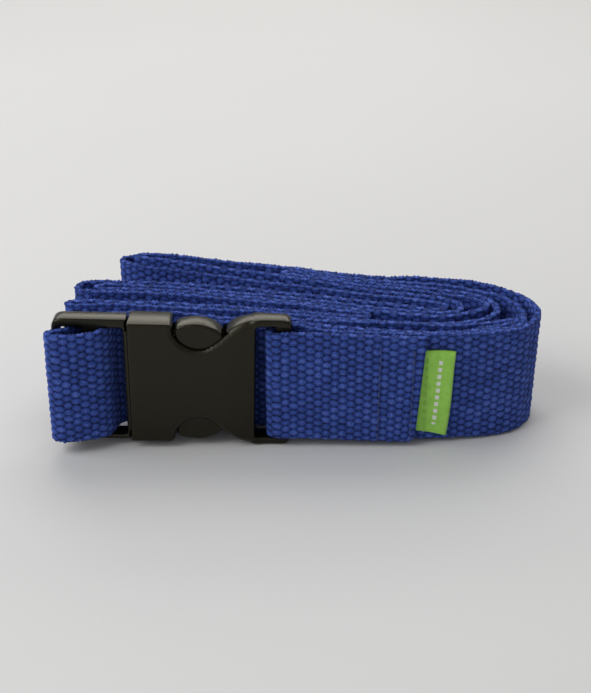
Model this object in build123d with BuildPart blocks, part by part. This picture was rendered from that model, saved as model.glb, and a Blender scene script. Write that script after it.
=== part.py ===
from build123d import *
import math
import os

os.makedirs("parts", exist_ok=True)

# ---------------------------------------------------------------- driving dimensions, mm
webbing_width = 38.0
webbing_thick = 2.2
origin_x, origin_y = 0.80, 30.82          # moves the working layout onto the base centre
lift = 3.1                            # how far the webbing edge is held up at the buckle
slope_end_x = 84.0                    # where the webbing edge is back down on the base

buckle_tilt = 1.4                     # degrees the buckle leans in its own plane, plug end up
tilt_x = -7.0                         # where the lean is centred, at the webbing slot
mid_y = 4.4                           # buckle mid-plane
mid_z = 22.6                          # buckle centre height
collar_half_y = 5.0
ear_half_y = 3.0
collar_left = -52.0
collar_half_z = 21.1
cavity_half_y = 3.9
cavity_half_z = 18.2
cavity_right = -17.0
ear_right = -1.4
ear_half_z = 22.4
slot_left, slot_right = -12.6, -6.2
slot_half_z = 19.9
bar_left, bar_right = -6.2, -1.7
bar_half_y = 2.2

plug_left, plug_right = -75.2, -52.3
plug_half_z = 21.5
plug_half_y = 3.0
open1_left, open1_right = -73.0, -66.0
open2_left, open2_right = -59.6, -53.4
open_half_z = 19.8
base_right = -46.5
base_half_z = 17.85
base_half_y = 3.55
tongue_right = -22.0
tongue_half_z = 4.0
tongue_half_y = 2.6

hinge_x, hinge_dz = -50.1, 15.0
knuckle_r = 1.6
knuckle_gap = 0.05
pad_half_y = 3.5
arm_half_y = 2.6

label_x0, label_x1 = 39.65, 49.7
label_z0, label_z1 = 4.0, 35.0

# ---------------------------------------------------------------- plan of the folded strap
main_run = [
    (39.4, 1.15), (30.9, 1.15), (21.9, 1.15), (13.4, 1.15), (4.4, 1.15), (-0.09, 1.1), (-5.59, 0.91),
    (-6.08, 0.97), (-6.56, 1.13), (-7.01, 1.35), (-7.42, 1.63), (-7.78, 1.98), (-8.06, 2.39), (-8.26, 2.85),
    (-8.48, 3.82), (-8.51, 4.82), (-8.31, 5.79), (-7.85, 6.68), (-7.53, 7.06), (-7.16, 7.39), (-6.29, 7.89),
    (-5.82, 8.05), (-5.33, 8.14), (-3.83, 8.15), (-2.35, 7.95), (-0.9, 7.57), (0.04, 7.21), (2.77, 5.99),
    (6.09, 4.88), (8.52, 4.29), (11.49, 3.86), (14.48, 3.62), (17.48, 3.52), (24.48, 3.5), (31.98, 3.46),
    (37.97, 3.53), (42.97, 3.74), (47.45, 4.13), (51.92, 4.71), (57.84, 5.66), (60.29, 6.19), (64.16, 7.23),
    (66.05, 7.89), (68.85, 9.01), (69.76, 9.44), (71.49, 10.49), (72.32, 11.07), (72.69, 11.42),
    (73.68, 12.56), (76.03, 15.82), (76.54, 16.69), (76.97, 17.59), (77.46, 19.01), (77.7, 19.98),
    (77.93, 21.46), (78.02, 23.46), (77.87, 25.45), (77.64, 26.94), (77.42, 27.91), (77.14, 28.87),
    (76.79, 29.81), (76.36, 30.71), (75.87, 31.58), (75.04, 32.83), (74.14, 34.03), (72.5, 35.91),
    (70.31, 37.96), (67.95, 39.81), (66.29, 40.94), (64.6, 41.99), (63.28, 42.71), (61.47, 43.55),
    (59.6, 44.27), (57.7, 44.89), (55.77, 45.41), (53.33, 45.94), (48.9, 46.77), (44.93, 47.24),
    (39.45, 47.63), (32.95, 47.76), (30.45, 47.87), (25.97, 48.29), (22.51, 48.8), (19.58, 49.43),
    (16.21, 50.35), (3.35, 54.45), (-0.51, 55.53), (-3.91, 56.33), (-16.16, 58.85), (-28.93, 61.27),
    (-41.73, 63.49), (-45.69, 64.1), (-49.65, 64.64), (-54.61, 65.22), (-55.61, 65.27), (-56.61, 65.18),
    (-57.57, 64.93), (-58.04, 64.74), (-58.9, 64.24), (-59.61, 63.54), (-60.13, 62.69), (-60.41, 61.73),
    (-60.42, 60.73), (-60.16, 59.77), (-59.93, 59.33), (-59.64, 58.92), (-58.91, 58.24), (-58.09, 57.66),
    (-55.54, 56.07), (-54.18, 55.41), (-52.73, 54.99), (-51.26, 54.7), (-47.84, 53.9), (-42.46, 52.78),
    (-40.02, 52.21), (-31.87, 49.79), (-24.61, 47.94), (-17.34, 46.11), (-9.61, 44.03), (2.42, 40.66),
    (14.46, 37.3), (26.46, 33.8), (29.37, 33.08), (34.75, 31.96), (40.53, 30.33), (43.94, 29.57),
    (45.88, 29.06), (46.82, 28.74), (47.28, 28.53), (48.09, 27.95), (48.42, 27.58), (48.68, 27.15),
    (48.83, 26.68), (48.84, 26.18), (48.69, 25.71), (48.42, 25.29), (48.07, 24.93), (47.67, 24.63),
    (46.78, 24.19), (45.82, 23.92), (45.33, 23.85), (44.83, 23.82), (43.84, 23.91), (42.87, 24.15),
    (40.04, 25.13), (35.21, 26.45), (26.93, 28.36), (16.25, 30.99), (5.08, 33.71), (-3.19, 35.68),
    (-11.95, 37.73), (-17.81, 38.99), (-24.68, 40.37), (-29.59, 41.28), (-33.53, 41.95), (-37.49, 42.55),
    (-40.96, 42.98), (-45.94, 43.47), (-56.41, 44.23), (-62.87, 44.88), (-65.37, 45.01), (-67.87, 44.89),
    (-68.85, 44.74), (-69.81, 44.47), (-70.72, 44.05), (-71.54, 43.48), (-72.26, 42.78), (-72.55, 42.38),
    (-72.79, 41.94), (-72.97, 41.48), (-73.07, 40.99), (-73.09, 40.49), (-73.03, 39.99), (-72.89, 39.51),
    (-72.68, 39.06), (-72.4, 38.65), (-72.05, 38.29), (-71.64, 38.01), (-70.71, 37.64), (-68.75, 37.25),
    (-66.76, 37.04), (-64.77, 36.95), (-59.27, 36.87), (-54.28, 36.51), (-47.82, 35.84), (-41.87, 35.08),
    (-37.43, 34.34), (-26.14, 32.17), (-14.85, 29.97), (-3.53, 27.95), (-0.6, 27.34), (1.83, 26.74),
    (13.34, 23.35), (22.52, 21), (22.96, 20.77), (23.28, 20.39), (23.35, 19.9), (23.17, 19.45), (22.8, 19.1),
    (22.36, 18.89), (21.87, 18.78), (20.87, 18.74), (18.88, 18.93), (14.44, 19.61), (3.66, 21.82),
    (-0.76, 22.65), (-6.68, 23.62), (-14.1, 24.71), (-22.03, 25.76), (-29.97, 26.77), (-36.42, 27.54),
    (-44.38, 28.32), (-54.35, 29.14), (-59.83, 29.53), (-63.83, 29.73), (-67.32, 29.81), (-72.32, 29.79),
    (-73.3, 29.58), (-73.74, 29.36), (-74.13, 29.05), (-74.38, 28.62), (-74.42, 28.12), (-74.23, 27.67),
    (-73.9, 27.3), (-73.48, 27.03), (-73.01, 26.86), (-72.02, 26.74), (-71.02, 26.76), (-68.52, 26.86),
    (-65.53, 27.1), (-63.53, 27.19), (-61.53, 27.18), (-59.04, 27.07), (-54.55, 26.76), (-45.08, 25.99),
    (-38.11, 25.32), (-31.16, 24.56), (-23.71, 23.66), (-16.28, 22.69), (-4.9, 21.01), (1.5, 19.91),
    (13.26, 17.51), (16.71, 16.91), (20.67, 16.4), (26.11, 15.57), (34.03, 14.47), (37.51, 14.07),
    (40, 13.9), (44.5, 13.85), (48.5, 14.04), (49.99, 14.2), (51.47, 14.42), (52.94, 14.73), (54.39, 15.12),
    (56.78, 15.85), (58.19, 16.35), (59.56, 16.97), (60.43, 17.45), (61.68, 18.28), (62.45, 18.92),
    (63.16, 19.62), (64.07, 20.82), (64.56, 21.69), (64.95, 22.6), (65.21, 23.57), (65.32, 24.56),
    (65.29, 25.56), (65.15, 26.55), (64.89, 27.52), (64.53, 28.45), (64.06, 29.33), (63.23, 30.58),
    (62.28, 31.74), (61.58, 32.45), (60.82, 33.1), (59.62, 34), (58.35, 34.79), (57.02, 35.48),
    (54.71, 36.46), (52.83, 37.12), (42.77, 40.14), (41.31, 40.48), (39.35, 40.85), (28.48, 42.51),
    (26.03, 43.02), (21.65, 44.05), (18.75, 44.81), (14.91, 45.93), (2.06, 50.06), (0.61, 50.46),
    (-1.34, 50.91), (-2.33, 50.98), (-2.82, 50.9), (-3.28, 50.7), (-3.66, 50.38), (-3.9, 49.94),
    (-3.9, 49.45), (-3.67, 49), (-3.3, 48.67), (-2.87, 48.42), (-2.4, 48.25), (0.56, 47.77), (3.94, 46.88),
    (8.74, 45.47), (13.95, 43.73), (16.34, 42.99), (20.67, 41.76), (25.5, 40.48), (28.92, 39.71),
    (39.23, 37.77), (42.63, 36.94), (45.02, 36.21), (47.86, 35.25), (53.01, 33.3), (55.84, 32.32),
    (57.22, 31.74), (58.53, 31.02), (59.76, 30.16), (60.51, 29.49), (61.51, 28.38), (62.01, 27.51),
    (62.14, 27.04), (62.16, 26.54), (62.07, 26.05), (61.89, 25.58), (61.36, 24.74), (60.69, 24),
    (59.91, 23.38), (58.61, 22.62), (56.84, 21.71), (55.47, 21.09), (52.22, 19.79), (51.27, 19.48),
    (49.8, 19.16), (48.32, 18.96), (46.82, 18.87), (45.32, 18.89), (43.82, 19.01), (34.97, 20.6),
    (30.55, 21.46), (25.18, 22.65), (22.77, 23.31), (17.44, 24.64), (12.62, 25.97), (3.51, 28.68),
    (-0.85, 29.8), (-4.76, 30.62), (-14.1, 32.33), (-21.46, 33.8), (-28.81, 35.29), (-36.67, 36.76),
    (-39.63, 37.26), (-42.6, 37.68), (-51.04, 38.61), (-58.02, 39.2), (-60.52, 39.32), (-64.51, 39.4),
    (-65.5, 39.54), (-65.95, 39.75), (-66.32, 40.08), (-66.52, 40.53), (-66.46, 41.02), (-66.18, 41.44),
    (-65.78, 41.73), (-65.31, 41.91), (-64.32, 42.03), (-60.32, 41.94), (-55.83, 41.64), (-48.37, 40.95),
    (-42.41, 40.26), (-39.44, 39.81), (-36.49, 39.27), (-25.7, 37.16), (-14.92, 34.98), (-5.57, 33.28),
    (-1.65, 32.48), (0.78, 31.91), (3.19, 31.25), (13.24, 28.2), (19.51, 26.48), (25.32, 25.01),
    (27.76, 24.45), (31.18, 23.75), (35.61, 22.93), (44, 21.57), (46.99, 21.36), (48.49, 21.36),
    (49.97, 21.53), (51.41, 21.94), (51.87, 22.15), (52.28, 22.43), (52.65, 22.76), (53.25, 23.56),
    (53.46, 24.01), (53.61, 24.49), (53.69, 24.98), (53.63, 25.97), (53.33, 26.93), (53.1, 27.37),
    (52.51, 28.18), (51.82, 28.89), (51.06, 29.55), (50.27, 30.16), (49.43, 30.7), (47.66, 31.63),
    (45.34, 32.56), (42, 33.61), (38.63, 34.54), (34.25, 35.58), (29.35, 36.57), (27.41, 37.06),
    (14.54, 41.14), (6.37, 43.45), (-1.82, 45.75), (-5.22, 46.55), (-15.48, 48.77), (-23.28, 50.57),
    (-31.57, 52.45), (-33.99, 53.07), (-38.78, 54.48), (-41.69, 55.2), (-47.55, 56.44), (-49.51, 56.81),
    (-51.48, 57.08), (-52.93, 57.41), (-53.85, 57.77), (-54.7, 58.27), (-55.03, 58.64), (-55.19, 59.1),
    (-55.14, 59.6), (-54.92, 60.04), (-54.59, 60.41), (-54.18, 60.7), (-53.73, 60.9), (-53.24, 61.02),
    (-52.25, 61.07), (-47.76, 60.71), (-42.81, 60.05), (-38.86, 59.4), (-30.04, 57.62), (-24.14, 56.56),
    (-15.24, 55.23), (-5.82, 54.02), (-1.38, 53.3), (0.57, 52.86), (2.98, 52.17), (9.64, 50.04),
    (13.44, 48.79), (16.79, 47.76), (20.15, 46.81), (23.06, 46.08), (25.02, 45.69), (28.97, 45.05),
    (41.84, 43.23), (46.26, 42.38), (48.2, 41.91), (49.64, 41.49), (52.01, 40.7), (56.7, 38.97),
    (58.57, 38.24), (59.94, 37.63), (61.72, 36.73), (63.9, 35.5), (65.58, 34.41), (66.79, 33.52),
    (67.93, 32.56), (69.38, 31.18), (70.37, 30.05), (71.21, 28.81), (71.91, 27.48), (72.47, 26.08),
    (72.86, 24.63), (73.1, 23.15), (73.2, 21.64), (73.15, 20.13), (73.01, 19.13), (72.57, 17.13),
    (72.49, 16.61), (72.45, 15.57), (72.36, 15.07), (72.2, 14.55), (71.98, 14.1), (71.65, 13.66),
    (70.93, 12.89), (70.07, 12.29), (68.28, 11.26), (65.46, 10.11), (63.08, 9.3), (60.16, 8.53),
    (57.23, 7.87), (50.31, 6.8), (46.34, 6.33), (42.36, 6.01), (38.36, 5.89), (33.36, 6.06), (28.38, 6.46),
    (24.91, 6.89), (18.97, 7.75), (9.59, 9.27), (1.68, 10.6), (0.71, 10.85), (-0.25, 11.2), (-5.26, 11.2),
    (-12.26, 11.41), (-16.26, 11.46), (-29.26, 11.4), (-36.76, 11.41), (-44.26, 11.41),
]
loop_run = [
    (-44.77, 11.41), (-48.78, 11.46), (-51.3, 11.33), (-51.78, 11.2), (-52.14, 10.74), (-53.04, 10.29),
    (-53.87, 9.73), (-54.58, 9.04), (-54.88, 8.64), (-55.39, 7.78), (-56.4, 5.49), (-57.15, 3.11),
    (-57.37, 2.66), (-57.92, 1.83), (-58.58, 1.08), (-59.73, 0.11), (-60.58, -0.4), (-61.49, -0.82),
    (-63.82, -1.72), (-66.21, -2.45), (-69.62, -3.26), (-71.59, -3.57), (-73.59, -3.63), (-74.08, -3.57),
    (-74.56, -3.42), (-74.99, -3.17), (-75.38, -2.86), (-75.72, -2.49), (-75.96, -2.06), (-75.94, -1.57),
    (-75.71, -1.13), (-75.39, -0.74), (-75.02, -0.41), (-74.57, -0.2), (-73.1, 0.08), (-72.64, 0.29),
    (-71.81, 0.84), (-71.06, 1.5), (-70.41, 2.25), (-70.14, 2.68), (-68.2, 6.73), (-67.64, 7.56),
    (-67.28, 7.91), (-66.49, 8.52), (-64.32, 9.75), (-62.05, 10.8), (-58.32, 12.24), (-56.43, 12.9),
    (-54.98, 13.28), (-53.5, 13.53), (-52.01, 13.67), (-45.01, 13.82),
]
tail_run = [
    (-44.51, 13.83), (-36.51, 13.91), (-24.01, 13.87), (-13.52, 13.73), (-5.02, 13.49), (-0.52, 13.49),
    (1.47, 13.26), (2.47, 13.21), (14.46, 12.82), (26.96, 12.46), (30.45, 12.23), (39.41, 11.44),
    (44.4, 11.12), (47.4, 11.08), (49.4, 11.19), (51.38, 11.39), (53.86, 11.72), (55.33, 12.02),
    (56.27, 12.34), (58.22, 12.77), (59.67, 13.16), (64.9, 14.85), (66.29, 15.39), (67.17, 15.86),
    (68.01, 16.4), (68.5, 16.52), (69.48, 16.34), (69.91, 16.15), (70.17, 15.73), (70.03, 15.28),
    (69.39, 14.57), (67.77, 13.56), (66.89, 13.16), (65.52, 12.63), (60.82, 11.11), (58.9, 10.57),
    (56.96, 10.14),
]


def plane_xy(z):
    return Plane(origin=(-origin_x, -origin_y, z), x_dir=(1, 0, 0), z_dir=(0, 0, 1))


def plane_xz(y):
    return Plane(origin=(-origin_x, y - origin_y, 0), x_dir=(1, 0, 0), z_dir=(0, -1, 0))


def seg_dist(p, a, b):
    vx, vy = b[0] - a[0], b[1] - a[1]
    ll = vx * vx + vy * vy
    t = 0.0 if ll == 0 else max(0.0, min(1.0, ((p[0] - a[0]) * vx + (p[1] - a[1]) * vy) / ll))
    return math.hypot(p[0] - a[0] - t * vx, p[1] - a[1] - t * vy)


def outline(run, half):
    """Both offset sides of an open centreline, with the inner side trimmed in tight turns."""
    n = len(run)
    sides = []
    for sign in (1, -1):
        side = []
        for i in range(n):
            a = run[max(i - 1, 0)]
            b = run[min(i + 1, n - 1)]
            p = run[i]
            d0 = (p[0] - a[0], p[1] - a[1]) if i > 0 else (b[0] - p[0], b[1] - p[1])
            d1 = (b[0] - p[0], b[1] - p[1]) if i < n - 1 else d0
            l0, l1 = math.hypot(*d0), math.hypot(*d1)
            tx, ty = d0[0] / l0 + d1[0] / l1, d0[1] / l0 + d1[1] / l1
            tl = math.hypot(tx, ty)
            tx, ty = tx / tl, ty / tl
            cosh = max(0.6, (tx * d1[0] + ty * d1[1]) / l1)
            q = (p[0] - sign * ty * half / cosh, p[1] + sign * tx * half / cosh)
            near = min(seg_dist(q, run[k], run[k + 1]) for k in range(max(0, i - 14), min(n - 1, i + 14)))
            if near >= half - 0.03 and (not side or math.hypot(q[0] - side[-1][0], q[1] - side[-1][1]) > 0.08):
                side.append(q)
        sides.append(side)
    return sides[0] + sides[1][::-1]


half_t = webbing_thick / 2
rise = math.tan(math.radians(buckle_tilt))

# ---------------------------------------------------------------- webbing, main run
# edge line of the front layers: lifted at the buckle, down on the base at the far end
with BuildPart() as webbing:
    with BuildSketch(plane_xy(0)):
        with BuildLine():
            Polyline(*outline(main_run, half_t), close=True)
        make_face()
    extrude(amount=webbing_width + lift + 1.5)
    # the coil behind stands on the base
    with BuildSketch(plane_xy(webbing_width)):
        with BuildLine():
            Polyline((-90, 17.2), (0, 16.6), (14, 15.2), (28, 13.95), (slope_end_x, 12.65), (slope_end_x, -12), (100, -12), (100, 80), (-90, 80), close=True)
        make_face()
    extrude(amount=lift + 3, mode=Mode.SUBTRACT)
    # the front layers slope down from the buckle
    with BuildSketch(plane_xz(17.2)):
        with BuildLine():
            Polyline((0, -1), (0, lift), (slope_end_x, 0), (slope_end_x, -1), close=True)
        make_face()
        with BuildLine():
            Polyline((0, webbing_width + lift), (slope_end_x, webbing_width), (slope_end_x, webbing_width + lift + 3), (-90, webbing_width + lift + 3), (-90, webbing_width + lift + 83 * rise), (tilt_x, webbing_width + lift), close=True)
        make_face()
    extrude(amount=22, mode=Mode.SUBTRACT)
    with BuildSketch(plane_xz(16.9)):
        with BuildLine():
            Polyline((-90, -1), (-90, lift + 83 * rise), (tilt_x, lift), (0, lift), (0, -1), close=True)
        make_face()
    extrude(amount=29, mode=Mode.SUBTRACT)
webbing.part.label = "webbing"

# ---------------------------------------------------------------- webbing, free tail with its hem
with BuildPart() as webbing_tail:
    with BuildSketch(plane_xy(0)):
        with BuildLine():
            Polyline(*outline(tail_run, half_t), close=True)
        make_face()
    extrude(amount=webbing_width + lift + 1.5)
    with BuildSketch(plane_xz(20)):
        with BuildLine():
            Polyline((-90, -1), (-90, lift + 83 * rise), (tilt_x, lift), (0, lift), (slope_end_x, 0), (100, 0), (100, -1), close=True)
        make_face()
        with BuildLine():
            Polyline((-90, webbing_width + lift + 83 * rise), (tilt_x, webbing_width + lift), (0, webbing_width + lift), (slope_end_x, webbing_width), (100, webbing_width), (100, webbing_width + lift + 3), (-90, webbing_width + lift + 3), close=True)
        make_face()
    extrude(amount=22, mode=Mode.SUBTRACT)
webbing_tail.part.label = "webbing_tail"

# ---------------------------------------------------------------- webbing, loop through the ladder bars
with BuildPart() as webbing_plug_loop:
    with BuildSketch(plane_xy(lift)):
        with BuildLine():
            Polyline(*outline(loop_run, half_t), close=True)
        make_face()
    extrude(amount=webbing_width)
webbing_plug_loop.part.label = "webbing_plug_loop"

# ---------------------------------------------------------------- socket
window = [(-38.2, 30.0), (-38.2, 20.0), (-37.3, 17.3), (-35.7, 15.3), (-33.4, 13.5), (-30.6, 12.7), (-27.8, 13.2), (-25.2, 14.9),
          (-22.0, 17.9), (-19.2, 20.2), (-16.2, 21.6), (-13.0, ear_half_z), (-13.0, 30.0)]
window_bevel = [(-39.8, 30.0), (-39.8, 19.2), (-38.7, 16.1), (-36.7, 13.4), (-33.9, 11.4), (-30.6, 10.5), (-27.1, 11.1), (-24.0, 13.0),
                (-20.7, 16.1), (-18.0, 18.3), (-15.3, 20.1), (-12.6, 21.2), (-12.6, 30.0)]
with BuildPart() as socket_body:
    # plan thickness: full collar, tapering to the thin ears
    with BuildSketch(plane_xy(mid_z - 26)):
        with BuildLine():
            Polyline((collar_left, mid_y - collar_half_y), (-24, mid_y - collar_half_y), (-19, mid_y - collar_half_y + 0.3),
                     (-13, mid_y - ear_half_y - 0.55), (-8, mid_y - ear_half_y), (-2.4, mid_y - ear_half_y),
                     (ear_right, mid_y - ear_half_y + 1.0), (ear_right, mid_y + ear_half_y - 1.0),
                     (-2.4, mid_y + ear_half_y), (-8, mid_y + ear_half_y), (-13, mid_y + ear_half_y + 0.55),
                     (-19, mid_y + collar_half_y - 0.3), (-24, mid_y + collar_half_y), (collar_left, mid_y + collar_half_y), close=True)
        make_face()
    extrude(amount=52)
    # face outline
    with BuildSketch(plane_xz(mid_y + 20)):
        with BuildLine():
            Polyline((collar_left, mid_z - collar_half_z), (-38.4, mid_z - collar_half_z), (-30, mid_z - 21.7), (-17, mid_z - 22.3),
                     (-13.5, mid_z - ear_half_z), (-6.0, mid_z - ear_half_z), (-2.9, mid_z - 21.5), (ear_right, mid_z - 19.6),
                     (ear_right, mid_z + 19.6), (-2.9, mid_z + 21.5), (-6.0, mid_z + ear_half_z), (-13.5, mid_z + ear_half_z),
                     (-17, mid_z + 22.3), (-30, mid_z + 21.7), (-38.4, mid_z + collar_half_z), (collar_left, mid_z + collar_half_z), close=True)
        make_face()
    extrude(amount=40, mode=Mode.INTERSECT)
    # long outer edges are rounded
    long_edges = socket_body.edges().filter_by(lambda e: abs(e.center().Z - (mid_z)) > 20.8 and e.length > 11 and abs(e.center().Y + origin_y - mid_y) > 4.6 and e.center().X + origin_x < -30)
    fillet(long_edges, radius=1.3)
    # thumb windows
    for s in (1, -1):
        with BuildSketch(plane_xz(mid_y + 20)):
            with BuildLine():
                Polyline(*[(x, mid_z + s * z) for x, z in window], close=True)
            make_face()
        extrude(amount=40, mode=Mode.SUBTRACT)
        # bevel round each window, front and back
        for side in (1, -1):
            with BuildSketch(plane_xz(mid_y + side * (collar_half_y + 0.2))):
                with BuildLine():
                    Polyline(*[(x, mid_z + s * z) for x, z in window_bevel], close=True)
                make_face()
            with BuildSketch(plane_xz(mid_y + side * (collar_half_y - 1.0))):
                with BuildLine():
                    Polyline(*[(x, mid_z + s * z) for x, z in window], close=True)
                make_face()
            loft(mode=Mode.SUBTRACT)
    # cavity
    with BuildSketch(plane_xz(mid_y + cavity_half_y)):
        with BuildLine():
            Polyline((collar_left - 5, mid_z - cavity_half_z), (cavity_right, mid_z - cavity_half_z + 1.5), (cavity_right, mid_z + cavity_half_z - 1.5), (collar_left - 5, mid_z + cavity_half_z), close=True)
        make_face()
    extrude(amount=2 * cavity_half_y, mode=Mode.SUBTRACT)
    # webbing slot
    with BuildSketch(plane_xz(mid_y + 20)):
        with Locations(((slot_left + slot_right) / 2, mid_z)):
            Rectangle(slot_right - slot_left, 2 * slot_half_z)
        with Locations(((bar_right + 8) / 2, mid_z)):
            Rectangle(8 - bar_right, 2 * slot_half_z)
    extrude(amount=40, mode=Mode.SUBTRACT)
    # relief in front of and behind the bar
    for y0, y1 in ((mid_y - 20, mid_y - bar_half_y), (mid_y + bar_half_y, mid_y + 20)):
        with BuildSketch(plane_xz(y1)):
            with Locations(((bar_left + 6) / 2 - 0.05, mid_z)):
                Rectangle(6 - bar_left + 0.1, 2 * slot_half_z)
        extrude(amount=y1 - y0, mode=Mode.SUBTRACT)
    bar_edges = socket_body.edges().filter_by(Axis.Z).filter_by(lambda e: e.length > 30 and e.center().X + origin_x > bar_left - 0.3 and abs(abs(e.center().Y + origin_y - mid_y) - bar_half_y) < 0.1)
    fillet(bar_edges, radius=1.0)
socket_body.part.label = "socket_body"

# ---------------------------------------------------------------- plug: ladder frame, base and centre tongue
with BuildPart() as plug_frame:
    with BuildSketch(plane_xz(mid_y + plug_half_y)):
        with BuildLine():
            Polyline((plug_right, mid_z - plug_half_z), (plug_right, mid_z + plug_half_z), (plug_left + 3.2, mid_z + plug_half_z),
                     (plug_left + 0.9, mid_z + plug_half_z - 0.9), (plug_left, mid_z + plug_half_z - 3.2),
                     (plug_left, mid_z - plug_half_z + 3.2), (plug_left + 0.9, mid_z - plug_half_z + 0.9), (plug_left + 3.2, mid_z - plug_half_z), close=True)
        make_face()
        for a, b in ((open1_left, open1_right), (open2_left, open2_right)):
            with Locations(((a + b) / 2, mid_z)):
                Rectangle(b - a, 2 * open_half_z, mode=Mode.SUBTRACT)
    extrude(amount=2 * plug_half_y)
    rail_edges = plug_frame.edges().filter_by(Axis.X).filter_by(lambda e: e.length > 15 and abs(e.center().Z - mid_z) > 21)
    fillet(rail_edges, radius=1.1)
    ladder_edges = plug_frame.edges().filter_by(Axis.Z).filter_by(lambda e: e.length > 30 and abs(abs(e.center().Y + origin_y - mid_y) - plug_half_y) < 0.1 and min(abs(e.center().X + origin_x - v) for v in (open1_left, open1_right, open2_left)) < 0.1)
    fillet(ladder_edges, radius=0.6)
    # base block inside the collar
    with BuildSketch(plane_xz(mid_y + base_half_y)):
        with BuildLine():
            Polyline((plug_right - 0.6, mid_z - base_half_z), (base_right, mid_z - base_half_z + 0.6), (base_right, mid_z + base_half_z - 0.6), (plug_right - 0.6, mid_z + base_half_z), close=True)
        make_face()
    extrude(amount=2 * base_half_y)
    # centre tongue
    with BuildSketch(plane_xz(mid_y + tongue_half_y)):
        with BuildLine():
            Polyline((base_right - 1, mid_z - tongue_half_z), (tongue_right - 2, mid_z - tongue_half_z + 0.7), (tongue_right, mid_z - tongue_half_z + 2.4),
                     (tongue_right, mid_z + tongue_half_z - 2.4), (tongue_right - 2, mid_z + tongue_half_z - 0.7), (base_right - 1, mid_z + tongue_half_z), close=True)
        make_face()
    extrude(amount=2 * tongue_half_y)
    # round seats for the prong roots, open towards the prongs
    for s in (1, -1):
        with BuildSketch(plane_xz(mid_y + 10)):
            with Locations((hinge_x, mid_z + s * hinge_dz)):
                Circle(knuckle_r + knuckle_gap)
        extrude(amount=20, mode=Mode.SUBTRACT)
        with BuildSketch(plane_xz(mid_y + 10)):
            with BuildLine():
                Polyline((hinge_x + 0.95, mid_z + s * (hinge_dz - 1.35)), (base_right + 1, mid_z + s * (hinge_dz - 3.4)), (base_right + 1, mid_z + s * 25),
                         (hinge_x + 0.95, mid_z + s * 25), close=True)
            make_face()
        extrude(amount=20, mode=Mode.SUBTRACT)
plug_frame.part.label = "plug_frame"

# ---------------------------------------------------------------- prongs
pad = [(-37.3, 11.6), (-37.3, 18.8), (-36.2, 19.7), (-34.0, 20.4), (-31.0, 20.7), (-28.2, 20.3), (-26.0, 19.3), (-24.4, 17.8),
       (-23.2, 16.2), (-21.8, 14.4), (-20.9, 13.0), (-21.6, 11.9), (-24.0, 11.2), (-29.0, 10.9), (-35.0, 11.0)]
prongs = {}
for name, s in (("prong_upper", 1), ("prong_lower", -1)):
    with BuildPart() as prong:
        with BuildSketch(plane_xz(mid_y + pad_half_y)):
            with BuildLine():
                Polyline(*[(x, mid_z + s * z) for x, z in pad], close=True)
            make_face()
        extrude(amount=2 * pad_half_y)
        edge_set = prong.edges().filter_by(lambda e: abs(abs(e.center().Y + origin_y - mid_y) - pad_half_y) < 0.05 and e.center().X + origin_x > -37.25 and s * (e.center().Z - mid_z) > 17.5)
        chamfer(edge_set, length=0.6)
        with BuildSketch(plane_xz(mid_y + arm_half_y)):
            with BuildLine():
                Polyline((hinge_x, mid_z + s * (hinge_dz - 1.2)), (-36.8, mid_z + s * (hinge_dz - 1.7)), (-36.8, mid_z + s * (hinge_dz + 1.5)),
                         (hinge_x, mid_z + s * (hinge_dz + 1.2)), close=True)
            make_face()
        extrude(amount=2 * arm_half_y)
        with BuildSketch(plane_xz(mid_y + base_half_y - 0.05)):
            with Locations((hinge_x, mid_z + s * hinge_dz)):
                Circle(knuckle_r)
        extrude(amount=2 * (base_half_y - 0.05))
    prong.part.label = name
    prongs[name] = prong

# ---------------------------------------------------------------- label and stitching
with BuildPart() as side_label:
    with BuildSketch(plane_xz(2.25)):
        with BuildLine():
            Polyline((label_x0, label_z0), (label_x1, label_z0), (label_x1, label_z1), (label_x0, label_z1), close=True)
        make_face()
    extrude(amount=0.8)
side_label.part.label = "side_label"

stitch_len, stitch_gap, stitch_wide, stitch_high = 2.2, 0.9, 0.45, 0.3


def stitch_rows(columns, rows, y_face):
    """Stitches standing just proud of a face that looks towards -Y."""
    with BuildPart() as st:
        pts = []
        for x, za, zb in columns:
            z = za
            while z + stitch_len <= zb + 0.01:
                pts.append((x, z + stitch_len / 2))
                z += stitch_len + stitch_gap
        with BuildSketch(plane_xz(y_face)):
            with Locations(*pts):
                Rectangle(stitch_wide, stitch_len)
            rpts = []
            for z, xa, xb in rows:
                x = xa
                while x + stitch_len <= xb + 0.01:
                    rpts.append((x + stitch_len / 2, z))
                    x += stitch_len + stitch_gap
            if rpts:
                with Locations(*rpts):
                    Rectangle(stitch_len, stitch_wide)
        extrude(amount=stitch_high)
    return st


seam_stitching = stitch_rows([(36.6, 3.0, 36.5), (26.2, 3.6, 37.6)], [], -0.12)
seam_stitching.part.label = "seam_stitching"
label_stitching = stitch_rows([(41.0, 5.0, 34.0)], [], 1.40)
label_stitching.part.label = "label_stitching"

with BuildPart() as hem_stitching:
    with BuildSketch(Plane(origin=(-origin_x + 59.183, -origin_y + 14.292, 0), x_dir=(-math.cos(0.2627), -math.sin(0.2627), 0), z_dir=(-math.sin(0.2627), math.cos(0.2627), 0))):
        with Locations(*[(0, 3.0 + k * (stitch_len + stitch_gap) + stitch_len / 2) for k in range(11)]):
            Rectangle(stitch_wide, stitch_len)
    extrude(amount=stitch_high)
hem_stitching.part.label = "hem_stitching"

# the buckle, and the strap looped through it, lean together about the slot
lean = Axis((tilt_x - origin_x, mid_y - origin_y, mid_z), (0, 1, 0))
for item in (socket_body, plug_frame, webbing_plug_loop, prongs["prong_upper"], prongs["prong_lower"]):
    tag = item.part.label
    item.part = item.part.rotate(lean, buckle_tilt)
    item.part.label = tag

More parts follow.
